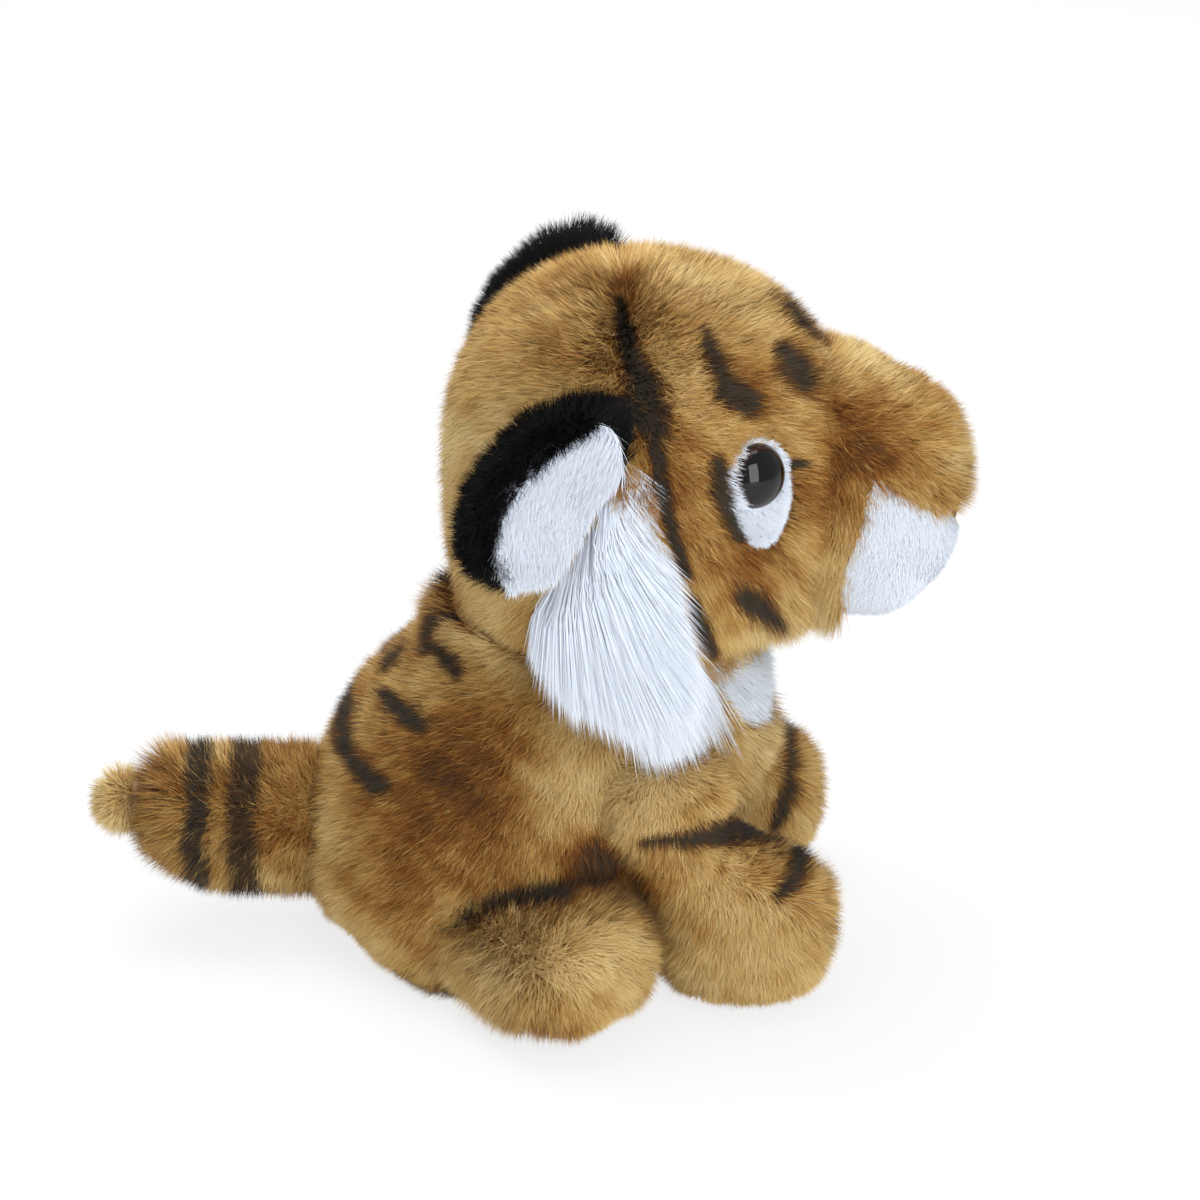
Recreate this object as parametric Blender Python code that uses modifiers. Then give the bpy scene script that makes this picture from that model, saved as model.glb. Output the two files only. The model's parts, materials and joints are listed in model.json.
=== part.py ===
"""A sitting plush tiger, built as it is sewn: plush skins over soft stuffing.

X runs from the tail to the muzzle, Y to the tiger's own left and Z up.  The floor is
Z = 0, and the origin lies under the middle of the toy.  The head, ears, legs and tail
are sewn on separately, and each one flexes about the middle of its own seam.
"""

import math

import bmesh
import bpy
import numpy as np
from mathutils import Matrix, Vector

TOY = "plush_tiger"

# Cloth: a knitted backing with the pile standing on it, and the gap left between pieces
WALL = 0.006
GAP = 0.0003
OVERRUN = 0.003
# Room left round a piece that swings; the rooms have fewer sides than the pieces
CLEARANCE = 0.0012

# Trunk, from the floor to the neck seam
TRUNK_HEIGHT = 0.077
TRUNK_BACK = 0.050
TRUNK_FRONT = 0.0565
TRUNK_WIDTH = 0.091
# height, back, front, width, squareness of each section
TRUNK_SHARES = (
    (0.00, 0.68, 0.425, 0.75, 2.0),
    (0.04, 0.82, 0.50, 0.86, 2.0),
    (0.13, 0.93, 0.55, 0.945, 2.0),
    (0.27, 1.00, 0.62, 0.99, 2.0),
    (0.415, 0.97, 0.745, 1.00, 2.0),
    (0.545, 0.915, 0.885, 0.99, 2.0),
    (0.675, 0.83, 0.973, 0.945, 2.0),
    (0.78, 0.73, 1.00, 0.90, 2.0),
    (0.88, 0.56, 0.982, 0.845, 2.0),
    (1.00, 0.38, 0.90, 0.79, 2.0),
)
NECK_MIDDLE = 0.012
NECK = TRUNK_HEIGHT + GAP

# White bib on the chest
BIB_WIDTH = 0.038
BIB_DROP = 0.034

# Pouch of pellets that weighs the seat down
POUCH_LENGTH = 0.046
POUCH_WIDTH = 0.034
POUCH_HEIGHT = 0.024
POUCH_BACK = 0.007
# height and width of each section
POUCH_SHARES = (
    (0.00, 0.80),
    (0.12, 0.93),
    (0.40, 1.00),
    (0.72, 0.86),
    (0.92, 0.52),
    (1.00, 0.00),
)

# Skull, from the neck seam to the crown
SKULL_HEIGHT = 0.0825
SKULL_LENGTH = 0.090
SKULL_WIDTH = 0.097
SKULL_MIDDLE = 0.026
SKULL_SHARES = (
    (0.000, 0.911, 0.622, 0.70, 2.0),
    (0.096, 0.944, 0.800, 0.845, 2.0),
    (0.217, 0.978, 0.922, 0.959, 2.0),
    (0.350, 0.991, 0.978, 1.00, 2.0),
    (0.480, 0.991, 1.000, 1.00, 2.0),
    (0.610, 0.967, 0.989, 0.959, 2.0),
    (0.730, 0.889, 0.900, 0.866, 2.0),
    (0.840, 0.744, 0.756, 0.700, 2.0),
    (0.923, 0.544, 0.556, 0.495, 2.0),
    (0.978, 0.300, 0.300, 0.270, 2.0),
    (1.000, 0.000, 0.000, 0.000, 2.0),
)

# Muzzle, a blunt box that grows out of the skull just above the neck seam
MUZZLE_START = 0.046
MUZZLE_LENGTH = 0.0493
MUZZLE_RISE = 0.0027
MUZZLE_BASE = NECK + MUZZLE_RISE
MUZZLE_HEIGHT = 0.061
MUZZLE_WIDTH = 0.050
# reach, bottom, top, width, squareness of each section
MUZZLE_SHARES = (
    (0.000, 0.130, 0.967, 0.88, 2.4),
    (0.276, 0.050, 1.010, 0.98, 2.4),
    (0.433, 0.008, 0.995, 1.00, 2.5),
    (0.590, 0.000, 0.951, 0.98, 2.6),
    (0.748, 0.008, 0.885, 0.92, 2.6),
    (0.876, 0.050, 0.820, 0.84, 2.6),
    (0.955, 0.130, 0.738, 0.68, 2.5),
    (0.990, 0.262, 0.615, 0.38, 2.3),
    (1.000, 0.434, 0.434, 0.00, 2.0),
)
# The white plush lies under a line that falls from the cheek to the front, and both of
# its heights are above the muzzle's own base
WHITE_AT_CHEEK = 0.037
WHITE_AT_FRONT = 0.027

# Nose, a padded velvet triangle
NOSE_WIDTH = 0.016
NOSE_HEIGHT = 0.010
NOSE_THICKNESS = 0.0016
NOSE_RISE = 0.0405
NOSE_TOP = MUZZLE_BASE + NOSE_RISE

# Eyes: a domed plastic eye on a ribbed post, held by a washer, in a short white patch
EYE_ACROSS = 0.014
EYE_DOME = 0.0055
EYE_BOW = [math.radians(angle) for angle in (70, 50, 30, 14, 0)]
EYE_FLANGE = 0.0006
EYE_DEPTH = 0.0044
EYE_REACH = 0.0255
EYE_RISE = 0.0482
POST_ACROSS = 0.0032
POST_LENGTH = 0.0064
WASHER_ACROSS = 0.010
WASHER_THICKNESS = 0.0012
PATCH_WIDTH = 0.0175
PATCH_RISE = 0.0095
PATCH_DROP = 0.0175
PATCH_DEPTH = 0.002
PATCH_CORNERS = 18

# Ears: a thick dark back and a thinner white lining, folded back along the head
EAR_HEIGHT = 0.037
EAR_WIDTH = 0.048
EAR_BACK_THICKNESS = 0.0065
EAR_LINING_THICKNESS = 0.0035
EAR_RIM = 0.006
EAR_CUP = 0.005
EAR_ROOT_ACROSS = 0.008
EAR_ROOT_LENGTH = 0.027
EAR_ROOT_REACH = 0.0145
EAR_ROOT_RISE = 0.0422
# How far an ear's root lies inside the skull's side
EAR_ROOT_INSET = 0.00325
EAR_ROOT_APART = SKULL_WIDTH - 2 * EAR_ROOT_INSET
EAR_LEAN = math.radians(26)
EAR_SWEEP = math.radians(37)
EAR_SPREAD = math.radians(25)
EAR_SWINGS = (math.radians(-6), math.radians(7), math.radians(20))
EAR_SHARES = (
    (0.00, 0.60, 0.55),
    (0.22, 0.86, 0.90),
    (0.45, 1.00, 1.00),
    (0.65, 0.97, 1.00),
    (0.82, 0.80, 0.92),
    (0.94, 0.50, 0.70),
    (1.00, 0.00, 0.00),
)

# Ruffs of long white pile behind the cheeks: reach and height of each corner,
# counted from the middle of the ear root
RUFF_LENGTH = 0.044
RUFF_HEIGHT = 0.060
RUFF_SHARES = (
    (0.26, 0.24),
    (0.40, -0.12),
    (0.52, -0.44),
    (0.74, -0.72),
    (-0.34, -0.72),
    (-0.18, -0.44),
    (0.08, -0.14),
)

# Forelegs: a ball at the shoulder, a stout leg and a paw that reaches forward
FORELEG_WIDTH = 0.032
SHOULDER_REACH = 0.030
SHOULDER_HEIGHT = 0.046
FORELEG_APART = 0.063
PAW_REACH = 0.039
FORELEG_SHARES = (
    (0.000, -0.077, 0.872, 0.72, 2.2),
    (0.065, 0.000, 0.949, 0.875, 2.2),
    (0.217, 0.051, 0.990, 0.97, 2.2),
    (0.435, 0.077, 1.000, 1.00, 2.2),
    (0.609, 0.141, 0.950, 1.01, 2.2),
    (0.761, 0.269, 0.760, 1.01, 2.1),
    (0.891, 0.372, 0.540, 1.00, 2.0),
)
FORELEG_SWINGS = (0.0, math.radians(10), math.radians(20))

# Hind legs: a ball at the hip and a broad foot that points forward and outward
HIP_REACH = -0.006
HIP_ACROSS = 0.032
HIP_APART = 0.070
FOOT_LENGTH = 0.038
FOOT_HEIGHT = 0.0336
FOOT_WIDTH = 0.040
FOOT_SPLAY = math.radians(38)
# The hip seam leans, so that the foot swings outward as it lifts
HIP_LEAN = math.radians(25)
# reach, height, width of each section in front of the hip
FOOT_SHARES = (
    (0.21, 0.99, 0.90),
    (0.42, 1.00, 0.99),
    (0.60, 1.00, 1.00),
    (0.79, 0.93, 0.90),
    (0.91, 0.72, 0.68),
    (0.975, 0.40, 0.38),
    (1.00, 0.00, 0.00),
)
HIND_SWINGS = (0.0, math.radians(9), math.radians(18))

# Tail: a ball at the root, a thick tube and the tuft where the cloth is gathered
TAIL_ROOT = 0.049
TAIL_LEVEL = 0.0265
TAIL_ACROSS = 0.0336
TAIL_LENGTH = 0.0358
TAIL_LIFT = 0.0045
# reach, radius and lift of each section behind the root
TAIL_SHARES = (
    (0.28, 1.00, 0.00),
    (0.54, 0.99, 0.05),
    (0.76, 0.90, 0.30),
    (0.91, 0.66, 0.70),
    (0.98, 0.34, 0.95),
    (1.00, 0.00, 1.00),
)
TAIL_SWINGS = (math.radians(-25), 0.0, math.radians(25))
TUFT_LENGTH = 0.012
TUFT_ACROSS = 0.0135
TUFT_NECK = 0.0062
TUFT_SHARES = (
    (1.00, 0.00),
    (0.985, 0.36),
    (0.90, 0.78),
    (0.76, 1.00),
    (0.60, 0.97),
    (0.46, 0.74),
)
THREAD_ACROSS = 0.0012
THREAD_PLACE = 0.0022
THREAD_AROUND = 6

# The shares of a ball's radius at which its sections are cut, from its equator
BALL_SHARES = (0.36, 0.68, 0.866)

# The squareness of a round section; a higher one is closer to a box
ROUND = 2.0
# Steps from one row of a table to the next, and points round a section
STEPS = 1
OUTER_AROUND = 24
LIMB_AROUND = 18
EAR_AROUND = 20
INNER_AROUND = 16
LIMB_INNER_AROUND = 12
WAY_AROUND = 14
TURN_STEPS = 16
# The finer sections among which a point of the surface is looked for
SEARCH_STEPS = 8
SEARCH_AROUND = 360
# Facets of a cleared way that bend less than this are merged
WAY_BEND = math.radians(7)
# Points nearer than this are one point
MERGE = 0.00001

COLOURS = {
    "tan_plush": ("C08B4A", 0.95),
    "white_plush": ("E9EDF3", 0.95),
    "black_plush": ("17171A", 0.95),
    "white_felt": ("E4E9F0", 0.95),
    "velvet": ("5B3A34", 0.85),
    "polyester_fill": ("EFEDE8", 1.0),
    "pellet_pouch": ("D9D4C8", 0.9),
    "eye_plastic": ("1C110B", 0.12),
    "washer_plastic": ("D8D8D2", 0.5),
    "sewing_thread": ("E8DCC0", 0.8),
}


def linear(value):
    """One sRGB channel from 0 to 1 as a linear one."""
    return value / 12.92 if value <= 0.04045 else ((value + 0.055) / 1.055) ** 2.4


def material(name):
    """The Principled material of that name, made once."""
    found = bpy.data.materials.get(name)
    if found:
        return found
    digits, roughness = COLOURS[name]
    channels = [linear(int(digits[i : i + 2], 16) / 255) for i in (0, 2, 4)]
    made = bpy.data.materials.new(name)
    made.use_nodes = True
    shader = made.node_tree.nodes["Principled BSDF"]
    shader.inputs["Base Color"].default_value = (*channels, 1.0)
    shader.inputs["Roughness"].default_value = roughness
    made.diffuse_color = (*channels, 1.0)
    return made


def new_collection(name):
    """A collection in the scene."""
    made = bpy.data.collections.new(name)
    bpy.context.scene.collection.children.link(made)
    return made


def part(name, mesh, finish):
    """A sub-part in the toy's collection."""
    made = bpy.data.objects.new(name, mesh)
    bpy.data.collections[TOY].objects.link(made)
    mesh.materials.clear()
    mesh.materials.append(material(finish))
    mesh.shade_smooth()
    return made


def cutter(name, mesh, place=None):
    """A shape that only cuts or bounds others, drawn as a wire."""
    made = bpy.data.objects.new(name, mesh)
    bpy.data.collections["cutters"].objects.link(made)
    made.hide_render = True
    made.display_type = "WIRE"
    if place:
        made.matrix_world = place
    return made


def cut(target, *tools, operation="DIFFERENCE"):
    """Boolean modifiers on the target, one for each tool."""
    for tool in tools:
        step = target.modifiers.new(f"{operation.lower()} {tool.name}", "BOOLEAN")
        step.operation = operation
        step.solver = "EXACT"
        step.object = tool


def flow(rows, steps):
    """The rows of a table with more between them, on a Catmull-Rom curve.

    A row is (along, middle, half, half width, squareness).  A closed end has a half of
    zero, and beyond it the curve comes back on the other side, which rounds the end.
    """
    rows = np.array(rows, float)

    def beyond(end, inner):
        if end[2] == 0:
            return np.array([inner[0], inner[1], -inner[2], -inner[3], inner[4]])
        return 2 * end - inner

    padded = np.vstack([beyond(rows[0], rows[1]), rows, beyond(rows[-1], rows[-2])])
    found = []
    for before, start, end, after in zip(padded, padded[1:], padded[2:], padded[3:]):
        for t in np.arange(steps) / steps:
            found.append(
                0.5
                * (
                    2 * start
                    + (end - before) * t
                    + (2 * before - 5 * start + 4 * end - after) * t**2
                    + (3 * start - before - 3 * end + after) * t**3
                )
            )
    found.append(rows[-1])
    return np.array(found)


def sections(rows, steps, around):
    """Closed sections, as an array of rings by points by (along, long, wide)."""
    along, middle, half, wide, square = (c[:, None] for c in flow(rows, steps).T)
    angle = 2 * math.pi * np.arange(around)[None, :] / around
    bend = 2 / square

    def power(value):
        return np.sign(value) * np.abs(value) ** bend

    return np.stack(
        np.broadcast_arrays(
            along,
            middle + half * power(np.cos(angle)),
            wide * power(np.sin(angle)),
        ),
        axis=2,
    )


def inward(rings, depth):
    """The sections moved in along the surface's own normals by a depth."""
    across = np.gradient(rings, axis=0)
    beside = np.roll(rings, -1, axis=1) - np.roll(rings, 1, axis=1)
    normal = np.cross(across, beside)
    outward = rings - rings.mean(axis=1, keepdims=True)
    normal *= np.sign((normal * outward).sum()) or 1
    size = np.linalg.norm(normal, axis=2, keepdims=True)
    normal = normal / np.maximum(size, np.finfo(float).tiny)
    for end, neighbour in ((0, 1), (-1, -2)):
        if np.ptp(rings[end], axis=0).max() == 0:
            normal[end] = 0
            normal[end, :, 0] = np.sign(rings[end, 0, 0] - rings[neighbour, 0, 0])
    return rings - depth * normal


class Form:
    """A soft form: a table of sections set along a line and carried to its place."""

    def __init__(self, rows, lying=False, place=None, side=1, around=OUTER_AROUND):
        self.rows = rows
        self.lying = lying
        self.place = place or Matrix()
        self.side = side
        self.around = around

    def coarse(self, around=INNER_AROUND):
        """The same form with fewer faces, for what lies inside the cloth."""
        return Form(self.rows, self.lying, self.place, self.side, around)

    def rings(self, depth=0.0, start=None, end=None, clamp=None):
        """The form's sections in the toy's frame, moved in by a depth.

        An open end is carried on straight to start or end, and what lies past them is
        pressed flat there.  Clamp holds the wide coordinate under or over a value.
        """
        rings = sections(self.rows, STEPS, self.around)
        if depth:
            rings = inward(rings, depth)
        if start is not None:
            rings[:, :, 0] = np.maximum(rings[:, :, 0], start)
            if rings[0, :, 0].min() > start:
                rings = np.concatenate([rings[:1], rings])
                rings[0, :, 0] = start
        if end is not None:
            rings[:, :, 0] = np.minimum(rings[:, :, 0], end)
            if rings[-1, :, 0].max() < end:
                rings = np.concatenate([rings, rings[-1:]])
                rings[-1, :, 0] = end
        if clamp:
            rings = clamp(rings)
        along, long, wide = rings[..., 0], rings[..., 1], rings[..., 2] * self.side
        order = (along, wide, long) if self.lying else (long, wide, along)
        points = np.stack(order, axis=2)
        turn = np.array(self.place.to_3x3())
        return points @ turn.T + np.array(self.place.translation)

    def mesh(self, name, floor=None, **how):
        """The form as a closed mesh, pressed flat where it would go under a floor."""
        rings = self.rings(**how)
        if floor is not None:
            rings[..., 2] = np.maximum(rings[..., 2], floor)
        return closed_mesh(name, rings)


def closed_mesh(name, rings):
    """A closed mesh over rings of points, with its faces pointing out."""
    count, around = rings.shape[:2]
    grid = bmesh.new()
    rows = []
    for ring in rings:
        if np.ptp(ring, axis=0).max() < MERGE:
            rows.append([grid.verts.new(ring[0])] * around)
        else:
            rows.append([grid.verts.new(point) for point in ring])
    for low, high in zip(rows, rows[1:]):
        for i in range(around):
            j = (i + 1) % around
            corners = []
            for corner in (low[i], low[j], high[j], high[i]):
                if corner not in corners:
                    corners.append(corner)
            grid.faces.new(corners)
    for ring in (rows[0], rows[-1]):
        if ring[0] is not ring[1]:
            grid.faces.new(ring)
    bmesh.ops.recalc_face_normals(grid, faces=grid.faces)
    made = bpy.data.meshes.new(name)
    grid.to_mesh(made)
    grid.free()
    return made


def prism(name, outline, depth, place):
    """A flat outline carried straight along the local Z axis."""
    shape = bmesh.new()
    face = shape.faces.new([shape.verts.new((u, v, 0.0)) for u, v in outline])
    raised = bmesh.ops.extrude_face_region(shape, geom=[face])["geom"]
    tops = [v for v in raised if isinstance(v, bmesh.types.BMVert)]
    bmesh.ops.translate(shape, verts=tops, vec=(0.0, 0.0, depth))
    bmesh.ops.recalc_face_normals(shape, faces=shape.faces)
    made = bpy.data.meshes.new(name)
    shape.to_mesh(made)
    shape.free()
    return cutter(name, made, place)


def grown(outline, distance):
    """A convex or gently hollow outline with each side moved out by a distance."""
    points = np.array(outline, float)
    edges = np.roll(points, -1, axis=0) - points
    area = (points[:, 0] * np.roll(points[:, 1], -1) - points[:, 1] * np.roll(points[:, 0], -1)).sum()
    normals = np.column_stack([edges[:, 1], -edges[:, 0]]) * np.sign(area)
    normals /= np.linalg.norm(normals, axis=1, keepdims=True)
    before = np.roll(normals, 1, axis=0)
    miter = (normals + before) / (1 + (normals * before).sum(axis=1, keepdims=True))
    return points + distance * miter


def turned(name, profile, place, steps=TURN_STEPS):
    """A closed turned mesh: a profile of (radius, height) from its top to its foot."""
    line = bpy.data.meshes.new(name)
    points = [(radius, 0.0, height) for radius, height in profile]
    edges = [(i, i + 1) for i in range(len(points) - 1)]
    if profile[0][0] > 0:
        edges.append((len(points) - 1, 0))
    line.from_pydata(points, edges, [])
    made = bpy.data.objects.new(name, line)
    screw = made.modifiers.new("turn", "SCREW")
    screw.steps = steps
    screw.render_steps = steps
    screw.use_merge_vertices = True
    screw.merge_threshold = MERGE
    made.matrix_world = place
    return made


def frame_at(point, outward, up=Vector((0.0, 0.0, 1.0))):
    """A place whose Z axis points outward and whose Y axis leans up."""
    z = outward.normalized()
    x = up.cross(z).normalized()
    y = z.cross(x)
    turn = Matrix((x, y, z)).transposed().to_4x4()
    return Matrix.Translation(point) @ turn


def trunk_form():
    """The trunk, as sections one above another."""
    rows = []
    for height, back, front, width, square in TRUNK_SHARES:
        low = -back * TRUNK_BACK
        high = front * TRUNK_FRONT
        rows.append((height * TRUNK_HEIGHT, (low + high) / 2, (high - low) / 2,
                     width * TRUNK_WIDTH / 2, square))
    return Form(rows)


def skull_form():
    """The skull, as sections one above another."""
    rows = []
    for height, back, front, width, square in SKULL_SHARES:
        low = SKULL_MIDDLE - back * SKULL_LENGTH / 2
        high = SKULL_MIDDLE + front * SKULL_LENGTH / 2
        rows.append((NECK + height * SKULL_HEIGHT, (low + high) / 2, (high - low) / 2,
                     width * SKULL_WIDTH / 2, square))
    return Form(rows)


def muzzle_form():
    """The muzzle, as sections one in front of another."""
    rows = []
    for reach, bottom, top, width, square in MUZZLE_SHARES:
        low = MUZZLE_BASE + bottom * MUZZLE_HEIGHT
        high = MUZZLE_BASE + top * MUZZLE_HEIGHT
        rows.append((MUZZLE_START + reach * MUZZLE_LENGTH, (low + high) / 2,
                     (high - low) / 2, width * MUZZLE_WIDTH / 2, square))
    return Form(rows, lying=True, around=LIMB_AROUND)


def ball_rows(radius, sign):
    """Sections of a ball round the origin, from an open rim to its equator."""
    rows = []
    for share in reversed(BALL_SHARES):
        half = radius * math.sqrt(1 - share**2)
        rows.append((-sign * share * radius, 0.0, half, half, ROUND))
    rows.append((0.0, 0.0, radius, radius, ROUND))
    return rows


def foreleg_form(side):
    """A foreleg from its sole up to the ball in the shoulder."""
    radius = FORELEG_WIDTH / 2
    rows = []
    for height, back, front, width, square in FORELEG_SHARES:
        low = -back * PAW_REACH
        high = front * PAW_REACH
        rows.append(((height - 1) * SHOULDER_HEIGHT, (low + high) / 2, (high - low) / 2,
                     width * radius, square))
    rows += [row for row in reversed(ball_rows(radius, -1))]
    return Form(rows, place=Matrix.Translation(shoulder(side)), side=side, around=LIMB_AROUND)


def shoulder(side):
    """The middle of a foreleg's ball."""
    return Vector((SHOULDER_REACH, side * FORELEG_APART / 2, SHOULDER_HEIGHT))


def hip(side):
    """The middle of a hind leg's ball."""
    return Vector((HIP_REACH, side * HIP_APART / 2, FOOT_HEIGHT / 2))


def hind_form(side):
    """A hind leg from the ball in the hip out to the end of the foot."""
    rows = ball_rows(HIP_ACROSS / 2, 1)
    for reach, height, width in FOOT_SHARES:
        rows.append((reach * FOOT_LENGTH, 0.0, height * FOOT_HEIGHT / 2,
                     width * FOOT_WIDTH / 2, ROUND))
    place = Matrix.Translation(hip(side)) @ Matrix.Rotation(side * FOOT_SPLAY, 4, "Z")
    return Form(rows, lying=True, place=place, side=side, around=LIMB_AROUND)


def tail_form():
    """The tail from the ball in its root out to where the cloth is gathered."""
    rows = ball_rows(TAIL_ACROSS / 2, 1)
    for reach, radius, lift in TAIL_SHARES:
        rows.append((reach * TAIL_LENGTH, lift * TAIL_LIFT, radius * TAIL_ACROSS / 2,
                     radius * TAIL_ACROSS / 2, ROUND))
    return Form(rows, lying=True, place=tail_place(), around=LIMB_AROUND)


def tail_place():
    """The tail's own frame, with X running out along the tail."""
    root = Matrix.Translation((-TAIL_ROOT, 0.0, TAIL_LEVEL))
    return root @ Matrix.Rotation(math.pi, 4, "Z")


def ear_directions(side):
    """Along the ear's root, up the ear, and out of its lining."""
    along = Vector((-math.sin(EAR_LEAN), 0.0, -math.cos(EAR_LEAN)))
    back = Vector((-math.cos(EAR_SWEEP), 0.0, math.sin(EAR_SWEEP)))
    outward = Vector((0.0, float(side), 0.0))
    up = (back * math.cos(EAR_SPREAD) + outward * math.sin(EAR_SPREAD)).normalized()
    along = (along - along.dot(up) * up).normalized()
    lining = along.cross(up) * side
    if lining.dot(outward) < 0:
        lining = -lining
    return along, up, lining


def ear_root(side):
    """The middle of the ear's root seam."""
    return Vector((EAR_ROOT_REACH, side * EAR_ROOT_APART / 2, NECK + EAR_ROOT_RISE))


def ear_form(side, start, inset, thickness):
    """One layer of an ear, with its own inset from the ear's outline."""
    along, up, lining = ear_directions(side)
    turn = Matrix((up, lining, along)).transposed().to_4x4()
    place = Matrix.Translation(ear_root(side)) @ turn
    height = EAR_HEIGHT - inset - start
    rows = []
    for reach, width, thick in EAR_SHARES:
        half = width * (EAR_WIDTH / 2 - inset)
        rows.append((start + reach * height, 0.0, half, thick * thickness, ROUND))
    return Form(rows, lying=True, place=place, around=EAR_AROUND)


def cupped(low, high):
    """A clamp that keeps a layer between two depths and curls its edges forward."""

    def clamp(rings):
        rings = rings.copy()
        rings[..., 2] = np.clip(rings[..., 2], low, high)
        curl = (2 * rings[..., 1] / EAR_WIDTH) ** 2
        rings[..., 2] += EAR_CUP * curl
        return rings

    return clamp


def surface_point(form, level, reach, side):
    """The point of an upright form at a level and reach, and its outward normal."""
    rings = sections(form.rows, SEARCH_STEPS, SEARCH_AROUND)
    normals = inward(rings, -1.0) - rings
    miss = (rings[..., 0] - level) ** 2 + (rings[..., 1] - reach) ** 2
    miss[rings[..., 2] < 0] = np.inf
    i, j = np.unravel_index(np.argmin(miss), miss.shape)
    along, long, wide = rings[i, j]
    n_along, n_long, n_wide = normals[i, j]
    return Vector((long, side * wide, along)), Vector((n_long, side * n_wide, n_along))


def swung(name, form, pivot, axis, angles, **how):
    """The room that a form needs as it swings: the hull of its places along the way."""
    points = form.rings(**how).reshape(-1, 3)
    places = []
    for angle in angles:
        turn = np.array(Matrix.Rotation(angle, 3, axis))
        places.append((points - pivot) @ turn.T + pivot)
    rough = hull(np.vstack(places))
    bmesh.ops.dissolve_limit(rough, angle_limit=WAY_BEND, verts=rough.verts, edges=rough.edges)
    room = hull([vert.co for vert in rough.verts])
    rough.free()
    made = bpy.data.meshes.new(name)
    room.to_mesh(made)
    room.free()
    return cutter(name, made)


def hull(points):
    """The convex hull of points, with its faces pointing out."""
    shape = bmesh.new()
    for point in points:
        shape.verts.new(point)
    found = bmesh.ops.convex_hull(shape, input=shape.verts, use_existing_faces=False)
    inner = [v for v in found["geom_interior"] if isinstance(v, bmesh.types.BMVert)]
    bmesh.ops.delete(shape, geom=inner, context="VERTS")
    bmesh.ops.recalc_face_normals(shape, faces=shape.faces)
    return shape


def limb(name, form, finish, start, end):
    """A limb's skin with its mouth open, and the stuffing inside."""
    skin = part(f"{name}_skin", form.mesh(f"{name}_skin", floor=0.0, end=end, start=start), finish)
    inside = form.coarse(LIMB_INNER_AROUND)
    hollow = cutter(f"{name}_hollow", inside.mesh(
        f"{name}_hollow", floor=WALL, depth=WALL,
        start=None if start is None else start - OVERRUN,
        end=None if end is None else end + OVERRUN))
    cut(skin, hollow)
    stuffing = part(f"{name}_stuffing", inside.mesh(
        f"{name}_stuffing", floor=WALL + GAP, depth=WALL + GAP, start=start, end=end),
        "polyester_fill")
    return skin, stuffing


def hang(pivot_name, point, *pieces):
    """An empty on a joint's axis, with the pieces that turn about it under it."""
    empty = bpy.data.objects.new(pivot_name, None)
    bpy.data.collections[TOY].objects.link(empty)
    empty.matrix_world = Matrix.Translation(point)
    for piece in pieces:
        piece.parent = empty
        piece.matrix_parent_inverse = Matrix.Translation(-Vector(point))
    return empty


def build_limbs():
    """The legs and the tail, and the cutters that clear their way in the trunk."""
    clearing = []
    rim = BALL_SHARES[-1]
    for side, word in ((-1, "right"), (1, "left")):
        form = foreleg_form(side)
        top = rim * FORELEG_WIDTH / 2
        skin, stuffing = limb(f"foreleg_{word}", form, "tan_plush", None, top)
        hang(f"foreleg_{word}_pivot", shoulder(side), skin, stuffing)
        clearing.append(swung(f"foreleg_{word}_way", form.coarse(WAY_AROUND), shoulder(side),
                              Vector((0.0, -1.0, 0.0)), FORELEG_SWINGS, depth=-CLEARANCE))
        form = hind_form(side)
        skin, stuffing = limb(f"hind_leg_{word}", form, "tan_plush", -rim * HIP_ACROSS / 2, None)
        hang(f"hind_leg_{word}_pivot", hip(side), skin, stuffing)
        clearing.append(swung(f"hind_leg_{word}_way", form.coarse(WAY_AROUND), hip(side),
                              hind_axis(side), HIND_SWINGS, depth=-CLEARANCE))
    form = tail_form()
    skin, stuffing = limb("tail", form, "tan_plush", -rim * TAIL_ACROSS / 2, None)
    tuft, thread = build_tuft()
    root = Vector((-TAIL_ROOT, 0.0, TAIL_LEVEL))
    hang("tail_pivot", root, skin, stuffing, tuft, thread)
    clearing.append(swung("tail_way", form.coarse(WAY_AROUND), root, Vector((0.0, 0.0, 1.0)),
                          TAIL_SWINGS, depth=-CLEARANCE))
    return clearing


def hind_axis(side):
    """The axis about which a hind leg lifts and swings outward, square to its way."""
    level = math.cos(HIP_LEAN)
    return Vector((side * level * math.sin(FOOT_SPLAY), -level * math.cos(FOOT_SPLAY),
                   side * math.sin(HIP_LEAN)))


def build_tuft():
    """The gathered tuft at the tail's tip, and the thread tied round its neck."""
    out = Matrix.Rotation(math.pi / 2, 4, "Y")
    tip = tail_place() @ Matrix.Translation((TAIL_LENGTH + GAP, 0.0, TAIL_LIFT)) @ out
    neck = TUFT_NECK / 2
    profile = [(share * TUFT_ACROSS / 2, reach * TUFT_LENGTH) for reach, share in TUFT_SHARES]
    profile += [(neck, THREAD_PLACE + THREAD_ACROSS), (neck, 0.0), (0.0, 0.0)]
    tuft = turned("tail_tuft", profile, tip)
    bpy.data.collections[TOY].objects.link(tuft)
    tuft.data.materials.append(material("tan_plush"))
    ring = neck + GAP + THREAD_ACROSS / 2
    bpy.ops.mesh.primitive_torus_add(major_radius=ring, minor_radius=THREAD_ACROSS / 2,
                                     major_segments=TURN_STEPS, minor_segments=THREAD_AROUND)
    thread = bpy.context.object
    thread.name = "tail_thread"
    for holder in list(thread.users_collection):
        holder.objects.unlink(thread)
    bpy.data.collections[TOY].objects.link(thread)
    thread.matrix_world = tip @ Matrix.Translation((0.0, 0.0, THREAD_PLACE))
    thread.data.materials.append(material("sewing_thread"))
    thread.data.shade_smooth()
    return tuft, thread


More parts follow.
